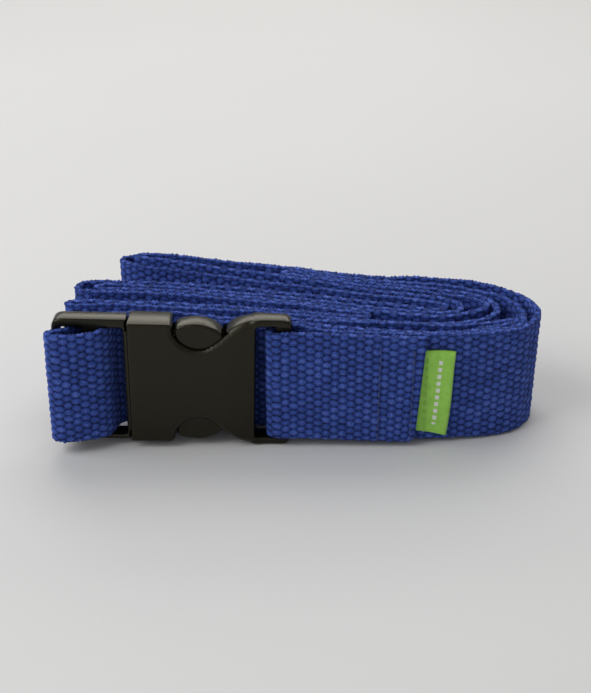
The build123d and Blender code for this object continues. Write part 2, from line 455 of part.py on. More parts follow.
for item in (webbing, webbing_tail, webbing_plug_loop, socket_body, plug_frame, prongs["prong_upper"], prongs["prong_lower"],
             side_label, seam_stitching, label_stitching, hem_stitching):
    export_step(item.part, "parts/" + item.part.label + ".step")
    bb = item.part.bounding_box()
    print(item.part.label, len(item.part.solids()), round(item.part.volume, 1), [round(v, 2) for v in (*bb.min, *bb.max)], item.part.is_valid)
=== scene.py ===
import math
import bpy
import bmesh
import numpy as np
from mathutils import Vector, Matrix
from mathutils.geometry import delaunay_2d_cdt

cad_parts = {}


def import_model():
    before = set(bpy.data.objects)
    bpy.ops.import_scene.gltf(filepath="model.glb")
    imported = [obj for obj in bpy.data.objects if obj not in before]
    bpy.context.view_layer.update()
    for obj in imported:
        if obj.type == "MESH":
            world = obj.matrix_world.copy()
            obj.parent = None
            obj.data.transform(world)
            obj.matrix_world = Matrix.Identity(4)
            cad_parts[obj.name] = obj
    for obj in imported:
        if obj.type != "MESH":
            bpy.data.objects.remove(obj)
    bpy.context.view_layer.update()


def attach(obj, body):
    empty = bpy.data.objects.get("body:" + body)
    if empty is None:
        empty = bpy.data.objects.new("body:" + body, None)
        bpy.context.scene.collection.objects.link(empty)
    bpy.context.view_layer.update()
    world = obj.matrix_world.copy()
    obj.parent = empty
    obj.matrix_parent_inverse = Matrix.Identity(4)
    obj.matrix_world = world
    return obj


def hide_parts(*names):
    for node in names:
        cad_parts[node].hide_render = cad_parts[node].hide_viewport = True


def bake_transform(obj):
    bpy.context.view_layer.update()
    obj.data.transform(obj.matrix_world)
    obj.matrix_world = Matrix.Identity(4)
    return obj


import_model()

MM = 0.001
OX, OY = 0.80, 30.82
WIDTH, HALF = 38.0, 1.12
PITCH_U, PITCH_V = 2.58, 2.49      # bead pitch along and across the strap, mm
BEAD_A, BEAD_B = 1.62, 1.24
MIDY, MIDZ = 4.4, 22.6
TILT_X, TILT = -7.0, math.radians(1.4)      # the buckle leans in its own plane about the slot

# plan of the folded strap: x, y, lift of the lower edge, mm
PATH = [
    (39.4, 1.15, 1.7), (33.4, 1.15, 1.87), (27.4, 1.15, 2.09), (21.4, 1.15, 2.31), (15.4, 1.15, 2.53),
    (9.4, 1.16, 2.75), (3.4, 1.14, 2.96), (-1.09, 1.07, 3.06), (-3.59, 1, 3.09), (-4.59, 0.94, 3.1),
    (-5.59, 0.91, 3.11), (-6.56, 1.13, 3.11), (-7.42, 1.63, 3.11), (-8.06, 2.39, 3.12), (-8.39, 3.33, 3.12),
    (-8.52, 4.32, 3.12), (-8.44, 5.31, 3.12), (-8.11, 6.25, 3.12), (-7.53, 7.06, 3.11), (-6.74, 7.67, 3.11),
    (-5.82, 8.05, 3.11), (-4.83, 8.18, 3.1), (-3.83, 8.15, 3.1), (-2.84, 8.04, 3.09), (0.04, 7.21, 3.05),
    (2.77, 5.99, 2.98), (5.61, 5.02, 2.89), (8.52, 4.29, 2.78), (11.49, 3.86, 2.68), (14.48, 3.62, 2.57),
    (20.48, 3.5, 2.34), (26.48, 3.48, 2.12), (32.48, 3.46, 1.9), (38.47, 3.55, 1.68), (44.47, 3.85, 1.46),
    (50.43, 4.5, 1.24), (53.4, 4.94, 1.13), (56.36, 5.45, 1.02), (59.31, 5.96, 0.91), (62.23, 6.69, 0.8),
    (65.11, 7.54, 0.7), (67.92, 8.63, 0.6), (68.85, 9.01, 0.56), (69.76, 9.44, 0.53), (70.63, 9.95, 0.5),
    (71.49, 10.49, 0.47), (72.32, 11.07, 0.44), (73.04, 11.78, 0.42), (73.68, 12.56, 0.39), (74.26, 13.38, 0.37),
    (76.03, 15.82, 0.3), (77.32, 18.53, 0.23), (77.93, 21.46, 0.14), (77.97, 24.46, 0.07), (77.54, 27.43, 0.02),
    (76.59, 30.26, 0), (75.04, 32.83, 0), (73.18, 35.18, 0), (71.06, 37.3, 0), (68.75, 39.22, 0), (66.29, 40.94, 0),
    (63.72, 42.48, 0), (61, 43.74, 0), (58.18, 44.74, 0), (55.28, 45.52, 0), (49.4, 46.69, 0), (43.44, 47.37, 0),
    (37.45, 47.69, 0), (31.45, 47.81, 0), (25.48, 48.35, 0), (22.51, 48.8, 0), (19.58, 49.43, 0), (13.82, 51.08, 0),
    (8.12, 52.94, 0), (2.39, 54.73, 0), (-3.42, 56.22, 0), (-9.3, 57.45, 0), (-15.17, 58.66, 0), (-21.06, 59.8, 0),
    (-26.96, 60.91, 0), (-32.86, 61.98, 0), (-38.77, 63, 0), (-44.7, 63.95, 0), (-50.64, 64.75, 0),
    (-53.62, 65.1, 0.05), (-54.61, 65.22, 0.09), (-55.61, 65.27, 0.15), (-56.61, 65.18, 0.22), (-57.57, 64.93, 0.3),
    (-58.48, 64.51, 0.38), (-59.28, 63.91, 0.47), (-59.9, 63.13, 0.56), (-60.3, 62.22, 0.64), (-60.45, 61.23, 0.71),
    (-60.32, 60.24, 0.77), (-59.93, 59.33, 0.81), (-59.29, 58.56, 0.83), (-58.51, 57.94, 0.85),
    (-57.67, 57.39, 0.85), (-56.81, 56.88, 0.84), (-55.96, 56.34, 0.82), (-55.1, 55.83, 0.81), (-54.18, 55.41, 0.79),
    (-53.22, 55.11, 0.78), (-52.24, 54.89, 0.76), (-49.31, 54.23, 0.71), (-43.44, 52.99, 0.6), (-40.51, 52.33, 0.55),
    (-37.62, 51.52, 0.5), (-31.87, 49.79, 0.39), (-26.06, 48.3, 0.29), (-20.24, 46.85, 0.18), (-14.44, 45.34, 0.08),
    (-8.65, 43.76, 0.02), (-2.87, 42.14, 0), (2.91, 40.53, 0), (8.69, 38.92, 0), (14.46, 37.3, 0), (20.22, 35.61, 0),
    (25.98, 33.93, 0), (31.82, 32.58, 0), (34.75, 31.96, 0), (37.65, 31.16, 0), (40.53, 30.33, 0), (43.45, 29.67, 0),
    (44.91, 29.33, 0), (45.88, 29.06, 0), (46.82, 28.74, 0), (47.7, 28.27, 0), (48.42, 27.58, 0), (48.83, 26.68, 0),
    (48.69, 25.71, 0), (48.07, 24.93, 0), (47.24, 24.39, 0), (46.31, 24.03, 0), (45.33, 23.85, 0), (44.33, 23.85, 0),
    (43.35, 24.01, 0), (42.4, 24.32, 0), (41.46, 24.67, 0), (38.59, 25.54, 0), (32.78, 27.03, 0), (26.93, 28.36, 0),
    (21.11, 29.79, 0), (15.28, 31.23, 0), (9.45, 32.65, 0), (3.62, 34.06, 0), (-2.21, 35.45, 0), (-8.05, 36.83, 0),
    (-13.9, 38.16, 0), (-19.77, 39.39, 0), (-25.66, 40.56, 0), (-31.56, 41.63, 0), (-37.49, 42.55, 0),
    (-43.45, 43.25, 0), (-49.43, 43.73, 0), (-55.41, 44.15, 0), (-60.88, 44.69, 0), (-63.87, 44.95, 0),
    (-66.87, 44.97, 0), (-67.87, 44.89, 0), (-68.85, 44.74, 0), (-69.81, 44.47, 0), (-70.72, 44.05, 0),
    (-71.54, 43.48, 0), (-72.26, 42.78, 0), (-72.79, 41.94, 0), (-73.07, 40.99, 0), (-73.03, 39.99, 0),
    (-72.68, 39.06, 0), (-72.05, 38.29, 0), (-71.19, 37.8, 0), (-70.23, 37.53, 0), (-69.24, 37.34, 0),
    (-66.27, 37.01, 0), (-63.27, 36.93, 0), (-57.27, 36.75, 0), (-51.3, 36.22, 0), (-45.34, 35.54, 0),
    (-39.4, 34.69, 0), (-33.5, 33.59, 0), (-27.61, 32.46, 0), (-21.72, 31.31, 0), (-15.83, 30.16, 0),
    (-9.93, 29.09, 0), (-4.02, 28.05, 0), (1.83, 26.74, 0), (7.58, 25.03, 0), (13.34, 23.35, 0), (19.14, 21.84, 0),
    (20.59, 21.49, 0), (21.56, 21.26, 0), (22.52, 21, 0), (23.28, 20.39, 0), (23.17, 19.45, 0), (22.36, 18.89, 0),
    (21.37, 18.74, 0), (20.37, 18.77, 0), (19.38, 18.87, 0), (16.41, 19.28, 0), (10.52, 20.41, 0), (4.64, 21.62, 0),
    (-1.26, 22.73, 0), (-7.18, 23.69, 0), (-13.11, 24.57, 0), (-19.06, 25.38, 0), (-25.01, 26.14, 0),
    (-30.96, 26.89, 0), (-36.92, 27.59, 0), (-42.89, 28.19, 0), (-48.86, 28.71, 0), (-54.84, 29.18, 0),
    (-60.83, 29.59, 0), (-66.82, 29.81, 0), (-69.82, 29.81, 0), (-70.82, 29.81, 0), (-71.82, 29.82, 0),
    (-72.82, 29.72, 0), (-73.74, 29.36, 0), (-74.38, 28.62, 0), (-74.23, 27.67, 0), (-73.48, 27.03, 0),
    (-72.52, 26.77, 0), (-71.52, 26.74, 0), (-70.52, 26.78, 0), (-67.52, 26.94, 0), (-64.53, 27.16, 0),
    (-61.53, 27.18, 0), (-55.55, 26.83, 0), (-49.57, 26.37, 0), (-43.59, 25.85, 0), (-37.62, 25.26, 0),
    (-31.65, 24.62, 0), (-25.7, 23.91, 0), (-19.74, 23.15, 0), (-13.8, 22.35, 0), (-7.86, 21.47, 0),
    (-1.94, 20.53, 0), (3.95, 19.42, 0), (9.83, 18.22, 0), (15.72, 17.07, 0), (18.69, 16.64, 0), (21.66, 16.25, 0),
    (27.6, 15.36, 0), (33.54, 14.53, 0), (39.5, 13.93, 0), (45.5, 13.87, 0), (48.5, 14.04, 0), (51.47, 14.42, 0),
    (54.39, 15.12, 0), (57.25, 16.01, 0), (60, 17.2, 0), (61.68, 18.28, 0), (62.45, 18.92, 0), (63.16, 19.62, 0),
    (63.78, 20.4, 0), (64.32, 21.24, 0), (64.77, 22.14, 0), (65.1, 23.08, 0), (65.28, 24.06, 0), (65.32, 25.06, 0),
    (65.23, 26.06, 0), (65.03, 27.04, 0), (64.72, 27.99, 0), (64.3, 28.89, 0), (63.8, 29.76, 0), (61.94, 32.1, 0),
    (59.62, 34, 0), (57.02, 35.48, 0), (54.25, 36.63, 0), (51.4, 37.57, 0), (45.65, 39.29, 0), (42.77, 40.14, 0),
    (39.84, 40.77, 0), (36.88, 41.22, 0), (30.94, 42.1, 0), (25.06, 43.24, 0.02), (19.23, 44.68, 0.15),
    (13.48, 46.38, 0.4), (7.77, 48.24, 0.66), (3.96, 49.46, 0.84), (1.09, 50.33, 0.97), (0.13, 50.58, 1.01),
    (-0.85, 50.81, 1.04), (-1.83, 50.97, 1.07), (-2.82, 50.9, 1.09), (-3.66, 50.38, 1.1), (-3.9, 49.45, 1.1),
    (-3.3, 48.67, 1.09), (-2.4, 48.25, 1.08), (-1.42, 48.08, 1.06), (-0.42, 47.96, 1.03), (2.49, 47.27, 0.91),
    (8.26, 45.62, 0.64), (13.95, 43.73, 0.37), (19.71, 42.03, 0.13), (25.5, 40.48, 0.01), (31.37, 39.26, 0),
    (37.27, 38.16, 0), (40.21, 37.56, 0), (43.11, 36.81, 0), (48.8, 34.91, 0), (51.61, 33.84, 0), (54.42, 32.8, 0),
    (57.22, 31.74, 0), (59.76, 30.16, 0), (60.51, 29.49, 0), (61.2, 28.77, 0), (61.79, 27.96, 0), (62.14, 27.04, 0),
    (62.07, 26.05, 0), (61.65, 25.15, 0), (61.04, 24.35, 0), (60.31, 23.67, 0), (59.48, 23.11, 0), (58.61, 22.62, 0),
    (55.93, 21.29, 0), (53.15, 20.16, 0), (50.29, 19.26, 0), (47.32, 18.89, 0), (44.32, 18.95, 0), (41.36, 19.44, 0),
    (35.46, 20.51, 0), (29.57, 21.66, 0), (26.64, 22.31, 0), (23.73, 23.03, 0), (20.83, 23.79, 0), (15.02, 25.29, 0),
    (9.26, 26.98, 0), (3.51, 28.68, 0), (-2.31, 30.12, 0), (-8.2, 31.26, 0), (-14.1, 32.33, 0), (-19.99, 33.5, 0),
    (-25.87, 34.7, 0), (-31.75, 35.85, 0), (-37.65, 36.93, 0), (-43.59, 37.8, 0), (-49.55, 38.46, 0),
    (-55.53, 39.01, 0), (-60.52, 39.32, 0), (-63.01, 39.39, 0), (-64.01, 39.39, 0), (-65.01, 39.44, 0),
    (-65.95, 39.75, 0), (-66.52, 40.53, 0), (-66.18, 41.44, 0), (-65.31, 41.91, 0), (-64.32, 42.03, 0),
    (-63.32, 42.02, 0), (-62.32, 42, 0), (-56.33, 41.68, 0), (-50.36, 41.15, 0), (-44.39, 40.51, 0),
    (-38.46, 39.64, 0), (-32.57, 38.51, 0), (-26.68, 37.35, 0), (-20.8, 36.16, 0), (-14.92, 34.98, 0),
    (-9.01, 33.9, 0), (-3.12, 32.8, 0), (2.71, 31.39, 0), (8.46, 29.66, 0), (14.2, 27.92, 0), (19.99, 26.36, 0),
    (22.91, 25.65, 0), (25.81, 24.89, 0), (31.68, 23.65, 0), (37.58, 22.6, 0), (40.54, 22.11, 0), (43.5, 21.64, 0),
    (46.49, 21.38, 0), (48.49, 21.36, 0), (49.48, 21.45, 0), (50.46, 21.64, 0), (51.41, 21.94, 0), (52.28, 22.43, 0),
    (52.98, 23.14, 0), (53.46, 24.01, 0), (53.69, 24.98, 0), (53.63, 25.97, 0), (53.33, 26.93, 0), (52.82, 27.79, 0),
    (52.17, 28.54, 0), (51.44, 29.23, 0), (50.67, 29.86, 0), (48.11, 31.41, 0), (45.34, 32.56, 0), (42.48, 33.46, 0),
    (36.69, 35.02, 0), (31.8, 36.08, 0), (28.86, 36.69, 0), (25.98, 37.49, 0.01), (20.27, 39.35, 0.1),
    (14.54, 41.14, 0.31), (8.78, 42.78, 0.55), (2.99, 44.38, 0.79), (0.11, 45.21, 0.91), (-2.79, 45.99, 1.03),
    (-8.64, 47.29, 1.28), (-14.51, 48.56, 1.52), (-20.36, 49.89, 1.76), (-26.2, 51.25, 2.01), (-32.05, 52.56, 2.25),
    (-37.82, 54.21, 2.49), (-43.64, 55.64, 2.73), (-46.57, 56.25, 2.84), (-49.51, 56.81, 2.93),
    (-50.99, 57.02, 2.96), (-51.96, 57.17, 2.97), (-52.93, 57.41, 2.98), (-53.85, 57.77, 2.99), (-54.7, 58.27, 2.99),
    (-55.19, 59.1, 3), (-54.92, 60.04, 3), (-54.18, 60.7, 2.99), (-53.24, 61.02, 2.98), (-52.25, 61.07, 2.97),
    (-51.25, 61, 2.96), (-50.25, 60.92, 2.94), (-44.29, 60.26, 2.76), (-38.37, 59.31, 2.52), (-32.49, 58.1, 2.27),
    (-26.6, 56.98, 2.02), (-20.68, 56.02, 1.78), (-14.74, 55.16, 1.53), (-8.79, 54.41, 1.28), (-4.83, 53.87, 1.12),
    (-1.87, 53.4, 1), (1.06, 52.73, 0.87), (3.93, 51.87, 0.75), (9.64, 50.04, 0.51), (15.35, 48.19, 0.28),
    (20.64, 46.68, 0.09), (23.55, 45.97, 0.03), (26.5, 45.44, 0.01), (32.44, 44.55, 0), (38.38, 43.75, 0),
    (44.3, 42.78, 0), (47.23, 42.15, 0), (50.12, 41.34, 0), (52.95, 40.36, 0), (55.77, 39.32, 0), (58.57, 38.24, 0),
    (61.28, 36.96, 0), (63.9, 35.5, 0), (66.39, 33.83, 0), (68.67, 31.88, 0), (70.66, 29.65, 0), (72.11, 27.02, 0),
    (72.96, 24.14, 0), (73.2, 21.14, 0), (72.9, 18.62, 0), (72.67, 17.63, 0), (72.49, 16.61, 0), (72.45, 15.57, 0),
    (72.2, 14.55, 0.01), (71.65, 13.66, 0.02), (70.93, 12.89, 0.03), (70.07, 12.29, 0.05), (69.19, 11.75, 0.08),
    (66.4, 10.49, 0.2), (63.56, 9.45, 0.34), (60.65, 8.66, 0.45), (57.72, 7.96, 0.53), (54.76, 7.51, 0.59),
    (48.83, 6.6, 0.71), (42.86, 6.04, 0.84), (39.86, 5.9, 0.9), (36.86, 5.91, 0.96), (30.87, 6.23, 1.08),
    (24.91, 6.89, 1.2), (18.97, 7.75, 1.32), (13.05, 8.7, 1.44), (7.13, 9.69, 1.56), (4.16, 10.22, 1.62),
    (2.68, 10.45, 1.64), (1.68, 10.6, 1.66), (0.71, 10.85, 1.67), (-0.25, 11.2, 1.68), (-1.25, 11.2, 1.69),
    (-2.26, 11.2, 1.69), (-5.26, 11.2, 1.71), (-8.26, 11.3, 1.73), (-14.26, 11.44, 1.8), (-20.26, 11.45, 1.88),
    (-26.26, 11.41, 1.96), (-32.26, 11.4, 2.05), (-38.26, 11.41, 2.26), (-43.76, 11.41, 2.93), (-46.77, 11.41, 3.43),
    (-49.28, 11.45, 3.79), (-50.29, 11.4, 3.91), (-51.39, 11.33, 4), (-52.49, 10.74, 4.08), (-53.63, 10.29, 4.15),
    (-54.77, 9.73, 4.2), (-55.86, 9.04, 4.23), (-56.65, 8.22, 4.26), (-57.09, 7.33, 4.28), (-57.48, 6.41, 4.29),
    (-57.83, 5.49, 4.3), (-58.08, 4.54, 4.32), (-58.33, 3.58, 4.33), (-58.66, 2.66, 4.34), (-59.11, 1.83, 4.36),
    (-59.62, 1.08, 4.37), (-60.17, 0.41, 4.39), (-60.75, -0.16, 4.41), (-61.36, -0.62, 4.43), (-61.97, -1.01, 4.45),
    (-62.88, -1.37, 4.47), (-63.82, -1.72, 4.49), (-66.69, -2.58, 4.56), (-69.62, -3.26, 4.63),
    (-71.59, -3.57, 4.67), (-72.59, -3.63, 4.69), (-73.59, -3.63, 4.71), (-74.56, -3.42, 4.72),
    (-75.38, -2.86, 4.73), (-75.96, -2.06, 4.73), (-75.71, -1.13, 4.73), (-75.02, -0.41, 4.73),
    (-74.08, -0.11, 4.72), (-73.1, 0.08, 4.71), (-72.22, 0.55, 4.7), (-71.42, 1.16, 4.68), (-70.72, 1.86, 4.67),
    (-70.14, 2.68, 4.65), (-69.7, 3.57, 4.64), (-69.26, 4.47, 4.62), (-68.83, 5.37, 4.61), (-68.42, 6.29, 4.59),
    (-67.94, 7.16, 4.58), (-67.28, 7.91, 4.56), (-66.49, 8.52, 4.54), (-65.64, 9.04, 4.53), (-64.76, 9.51, 4.51),
    (-62.05, 10.8, 4.44), (-59.25, 11.89, 4.38), (-56.43, 12.9, 4.31), (-53.5, 13.53, 4.24), (-50.51, 13.74, 4.16),
    (-44.51, 13.83, 4.02), (-38.51, 13.9, 3.86), (-32.51, 13.91, 3.26), (-26.51, 13.89, 2.24), (-20.52, 13.84, 1.89),
    (-14.52, 13.75, 1.81), (-8.52, 13.61, 1.74), (-5.52, 13.5, 1.71), (-2.52, 13.48, 1.7), (-1.52, 13.48, 1.69),
    (-0.52, 13.49, 1.68), (0.48, 13.38, 1.67), (1.47, 13.26, 1.66), (4.47, 13.15, 1.61), (10.47, 12.95, 1.49),
    (16.46, 12.76, 1.37), (22.46, 12.62, 1.25), (28.45, 12.37, 1.13), (34.43, 11.87, 1.01), (40.41, 11.37, 0.88),
    (43.4, 11.17, 0.82), (46.4, 11.06, 0.76), (49.4, 11.19, 0.7), (52.38, 11.51, 0.64), (53.37, 11.64, 0.62),
    (54.35, 11.8, 0.6), (55.33, 12.02, 0.58), (56.27, 12.34, 0.56), (57.25, 12.54, 0.54), (58.22, 12.77, 0.52),
    (61.1, 13.63, 0.46), (63.95, 14.54, 0.39), (65.37, 15.01, 0.33), (66.29, 15.39, 0.3), (67.17, 15.86, 0.25),
    (68.01, 16.4, 0.21), (68.99, 16.46, 0.17), (69.91, 16.15, 0.13), (70.03, 15.28, 0.1), (69.39, 14.57, 0.07),
    (68.59, 14.06, 0.04), (67.77, 13.56, 0.03), (66.89, 13.16, 0.01), (65.98, 12.8, 0.01), (63.18, 11.89, 0),
    (60.35, 10.96, 0), (57.45, 10.24, 0), (56.96, 10.14, 0),
]
BREAKS = {"c_mid": 109, "o2f_cut": 466, "t_cut": 564}
HEM_POS = (59.201, 14.225)
HEM_NORMAL = (-0.2597, 0.9657)
SHIFT_Y = 0.0499



def world(p):
    """Working layout in mm to the row frame in metres."""
    p = np.asarray(p, float)
    return np.column_stack([(p[:, 0] - OX) * MM, (p[:, 1] - OY) * MM, p[:, 2] * MM])


def tilted(p):
    """Buckle layout to working layout."""
    p = np.array(p, float)
    dx, dz = p[:, 0] - TILT_X, p[:, 2] - MIDZ
    p[:, 0] = TILT_X + dx * math.cos(TILT) + dz * math.sin(TILT)
    p[:, 2] = MIDZ - dx * math.sin(TILT) + dz * math.cos(TILT)
    return p


def noise1(x, seed):
    """Smooth 1-D noise, repeatable."""
    x = np.asarray(x, float)
    i = np.floor(x).astype(int)
    f = x - i
    f = f * f * (3 - 2 * f)
    h = lambda k: np.modf(np.abs(np.sin((k + seed * 57.13) * 12.9898) * 43758.5453))[0] * 2 - 1
    return h(i) * (1 - f) + h(i + 1) * f


def hash2(a, b, seed=0.0):
    return np.modf(np.abs(np.sin(a * 127.1 + b * 311.7 + seed * 74.7) * 43758.5453))[0]


# ------------------------------------------------------------------ mesh helpers
def new_object(name, verts, faces, mat, smooth=True, uv=None):
    me = bpy.data.meshes.new(name)
    me.from_pydata([tuple(v) for v in verts], [], faces)
    me.update()
    if uv is not None:
        lay = me.uv_layers.new(name="UVMap")
        loops = np.empty(len(me.loops), int)
        me.loops.foreach_get("vertex_index", loops)
        lay.data.foreach_set("uv", uv[loops].astype(np.float32).ravel())
    ob = bpy.data.objects.new(name, me)
    bpy.context.scene.collection.objects.link(ob)
    me.materials.append(mat)
    if smooth:
        me.polygons.foreach_set("use_smooth", [True] * len(me.polygons))
    return ob


def catmull(P, step):
    P = np.asarray(P, float)
    P = np.vstack([2 * P[0] - P[1], P, 2 * P[-1] - P[-2]])
    out = []
    for i in range(1, len(P) - 2):
        p0, p1, p2, p3 = P[i - 1:i + 3]
        d = lambda a, b: max(1e-6, np.linalg.norm(b[:2] - a[:2])) ** 0.5
        t0 = 0.0
        t1 = t0 + d(p0, p1)
        t2 = t1 + d(p1, p2)
        t3 = t2 + d(p2, p3)
        n = max(2, int(np.linalg.norm(p2[:2] - p1[:2]) / 0.12))
        t = (t1 + (t2 - t1) * np.arange(n) / n)[:, None]
        a1 = (t1 - t) / (t1 - t0) * p0 + (t - t0) / (t1 - t0) * p1
        a2 = (t2 - t) / (t2 - t1) * p1 + (t - t1) / (t2 - t1) * p2
        a3 = (t3 - t) / (t3 - t2) * p2 + (t - t2) / (t3 - t2) * p3
        b1 = (t2 - t) / (t2 - t0) * a1 + (t - t0) / (t2 - t0) * a2
        b2 = (t3 - t) / (t3 - t1) * a2 + (t - t1) / (t3 - t1) * a3
        out.append((t2 - t) / (t2 - t1) * b1 + (t - t1) / (t2 - t1) * b2)
    out.append(P[-2][None, :])
    out = np.vstack(out)
    s = np.r_[0, np.cumsum(np.linalg.norm(np.diff(out[:, :2], axis=0), axis=1))]
    n = max(2, int(round(s[-1] / step)))
    q = np.linspace(0, s[-1], n + 1)
    return np.column_stack([np.interp(q, s, out[:, k]) for k in range(out.shape[1])]), q


def bead(u, v):
    """Height 0..1 of the weave at u, v in mm: overlapping oval beads, every other column shifted by half a row."""
    cu = u / PITCH_U
    col = np.floor(cu)
    fu = cu - col - 0.5
    par = np.mod(col, 2)
    ra = v / PITCH_V + 0.5 * par
    rb = ra + 0.5
    da = (ra - np.floor(ra) - 0.5) * PITCH_V
    db = (rb - np.floor(rb) - 0.5) * PITCH_V
    ha = 1 - (fu * PITCH_U / BEAD_A) ** 2 - (da / BEAD_B) ** 2
    hb = 1 - ((1 - np.abs(fu)) * PITCH_U / BEAD_A) ** 2 - (db / BEAD_B) ** 2
    other = hb > ha
    h = np.maximum(0, np.where(other, hb, ha))
    return h, np.where(other, col + np.sign(fu), col), np.where(other, np.floor(rb), np.floor(ra))


def ribbon(name, pts, s0, mat, rows, relief=0.40, seed=1.0, lean=False, sewn_end=False):
    """Closed woven strap along a plan path. pts: x, y, lift. s0: arc length at its start. rows: row count per face."""
    c, s = pts[:, :2], s0 + np.r_[0, np.cumsum(np.linalg.norm(np.diff(pts[:, :2], axis=0), axis=1))]
    n = len(c)
    t = np.gradient(c, axis=0)
    t /= np.linalg.norm(t, axis=1)[:, None]
    nrm = np.column_stack([-t[:, 1], t[:, 0]])
    # profile: z from the lower edge, offset across the thickness
    zr = np.linspace(0.75, WIDTH - 0.75, rows)
    top = [(WIDTH - 0.22, 0.86), (WIDTH, 0.34), (WIDTH, -0.34), (WIDTH - 0.22, -0.86)]
    bot = [(0.22, -0.86), (0.0, -0.34), (0.0, 0.34), (0.22, 0.86)]
    prof = [(z, 1.0, 1) for z in zr] + [(z, o, 0) for z, o in top] + [(z, -1.0, -1) for z in zr[::-1]] + [(z, o, 0) for z, o in bot]
    m = len(prof)
    V = np.zeros((n, m, 3))
    UV = np.zeros((n, m, 2))
    wav = 0.16 * noise1(s / 9.0, seed) + 0.10 * noise1(s / 3.1, seed + 3)
    for j, (z, o, side) in enumerate(prof):
        h, col, row = bead(s, np.full(n, z))
        edge = min(z, WIDTH - z)
        near = max(0.0, 1 - edge / 2.2)
        off = o * HALF
        if side:
            amp = relief * (1 - 0.55 * near)
            off = o * (HALF - amp + amp * h ** 0.75 * (0.75 + 0.5 * hash2(col, row, seed)))
            off = off - o * 0.16 * near ** 2 * HALF
            zz = z + 0.0 * s
        else:
            # the selvedge: the crossing yarn turns round the edge twice in each column
            cu = s / (PITCH_U / 2) + 0.18 * noise1(s / 2.3, seed + 7)
            f = cu - np.floor(cu)
            bump = (1 - np.abs(2 * f - 1) ** 2.0) * (0.55 + 0.9 * hash2(np.floor(cu), 3.0, seed))
            sgn = 1 if z > WIDTH / 2 else -1
            zz = z + sgn * (0.50 * bump - 0.36)
            off = off + 0.22 * noise1(s / 1.1, seed + 11 + 3 * o)
        if edge < 6:
            zz = zz + (wav if z > WIDTH / 2 else 0.35 * np.abs(wav)) * (1 - edge / 6)
        V[:, j, 0] = c[:, 0] + nrm[:, 0] * off
        V[:, j, 1] = c[:, 1] + nrm[:, 1] * off
        V[:, j, 2] = pts[:, 2] + zz
        if lean:
            V[:, j, 0] += math.tan(TILT) * (V[:, j, 2] - MIDZ) * np.clip((-42 - c[:, 0]) / 12, 0, 1)
        if sewn_end:
            k = np.clip(1 - s / 9, 0, 1) * (c[:, 1] < 3)
            V[:, j, 0] += k * ((z - 22) / 38 * 2.3 - 1.6 * max(0.0, 1 - z / 3.2) ** 2)
        UV[:, j, 0] = s
        UV[:, j, 1] = z if side else (WIDTH + 0.9 * (0.86 - o) if z > WIDTH / 2 else -0.9 * (0.86 - abs(o)))
    V[:, :, 2] = np.maximum(V[:, :, 2], 0.02)
    verts = world(V.reshape(-1, 3))
    idx = np.arange(n * m).reshape(n, m)
    a = idx[:-1, :]
    b = idx[1:, :]
    quads = np.stack([a, b, np.roll(b, -1, axis=1), np.roll(a, -1, axis=1)], axis=-1).reshape(-1, 4)
    faces = [tuple(int(k) for k in q) for q in quads]
    verts = list(map(tuple, verts))
    uv = list(map(tuple, UV.reshape(-1, 2)))
    for end, rev in ((0, False), (n - 1, True)):
        ring = [int(k) for k in idx[end]]
        # close the end with strips between the two faces
        lo, hi = 0, rows - 1
        back = list(range(rows + 4 + rows - 1, rows + 4 - 1, -1))
        for k in range(rows - 1):
            f = (ring[k], ring[k + 1], ring[back[k + 1]], ring[back[k]])
            faces.append(f[::-1] if rev else f)
        ftop = [ring[rows - 1]] + [ring[rows + k] for k in range(4)] + [ring[rows + 4]]
        fbot = [ring[m - 5]] + [ring[m - 4 + k] for k in range(4)] + [ring[0]]
        faces.append(tuple(ftop[::-1] if rev else ftop))
        faces.append(tuple(fbot[::-1] if rev else fbot))
    ob = new_object(name, verts, faces, mat, uv=np.array(uv))
    bm = bmesh.new()
    bm.from_mesh(ob.data)
    bmesh.ops.recalc_face_normals(bm, faces=bm.faces)
    bm.to_mesh(ob.data)
    bm.free()
    return ob, float(s[-1] - s[0])


# ------------------------------------------------------------------ node helpers
def mat_new(name):
    m = bpy.data.materials.new(name)
    m.use_nodes = True
    nt = m.node_tree
    bsdf = next(x for x in nt.nodes if x.type == "BSDF_PRINCIPLED")
    return m, nt, bsdf


def N(nt, kind, **kw):
    nd = nt.nodes.new(kind)
    for k, v in kw.items():
        setattr(nd, k, v)
    return nd


def M(nt, op, a, b=None, c=None, clamp=False):
    nd = nt.nodes.new("ShaderNodeMath")
    nd.operation = op
    nd.use_clamp = clamp
    for i, x in enumerate((a, b, c)):
        if x is None:
            continue
        if hasattr(x, "is_linked") or hasattr(x, "links"):
            nt.links.new(x, nd.inputs[i])
        else:
            nd.inputs[i].default_value = x
    return nd.outputs[0]


def ramp(nt, fac, stops):
    nd = nt.nodes.new("ShaderNodeValToRGB")
    cr = nd.color_ramp
    cr.elements[0].position, cr.elements[0].color = stops[0][0], (*stops[0][1], 1)
    cr.elements[1].position, cr.elements[1].color = stops[-1][0], (*stops[-1][1], 1)
    for p, col in stops[1:-1]:
        e = cr.elements.new(p)
        e.color = (*col, 1)
    nt.links.new(fac, nd.inputs[0])
    return nd.outputs[0]


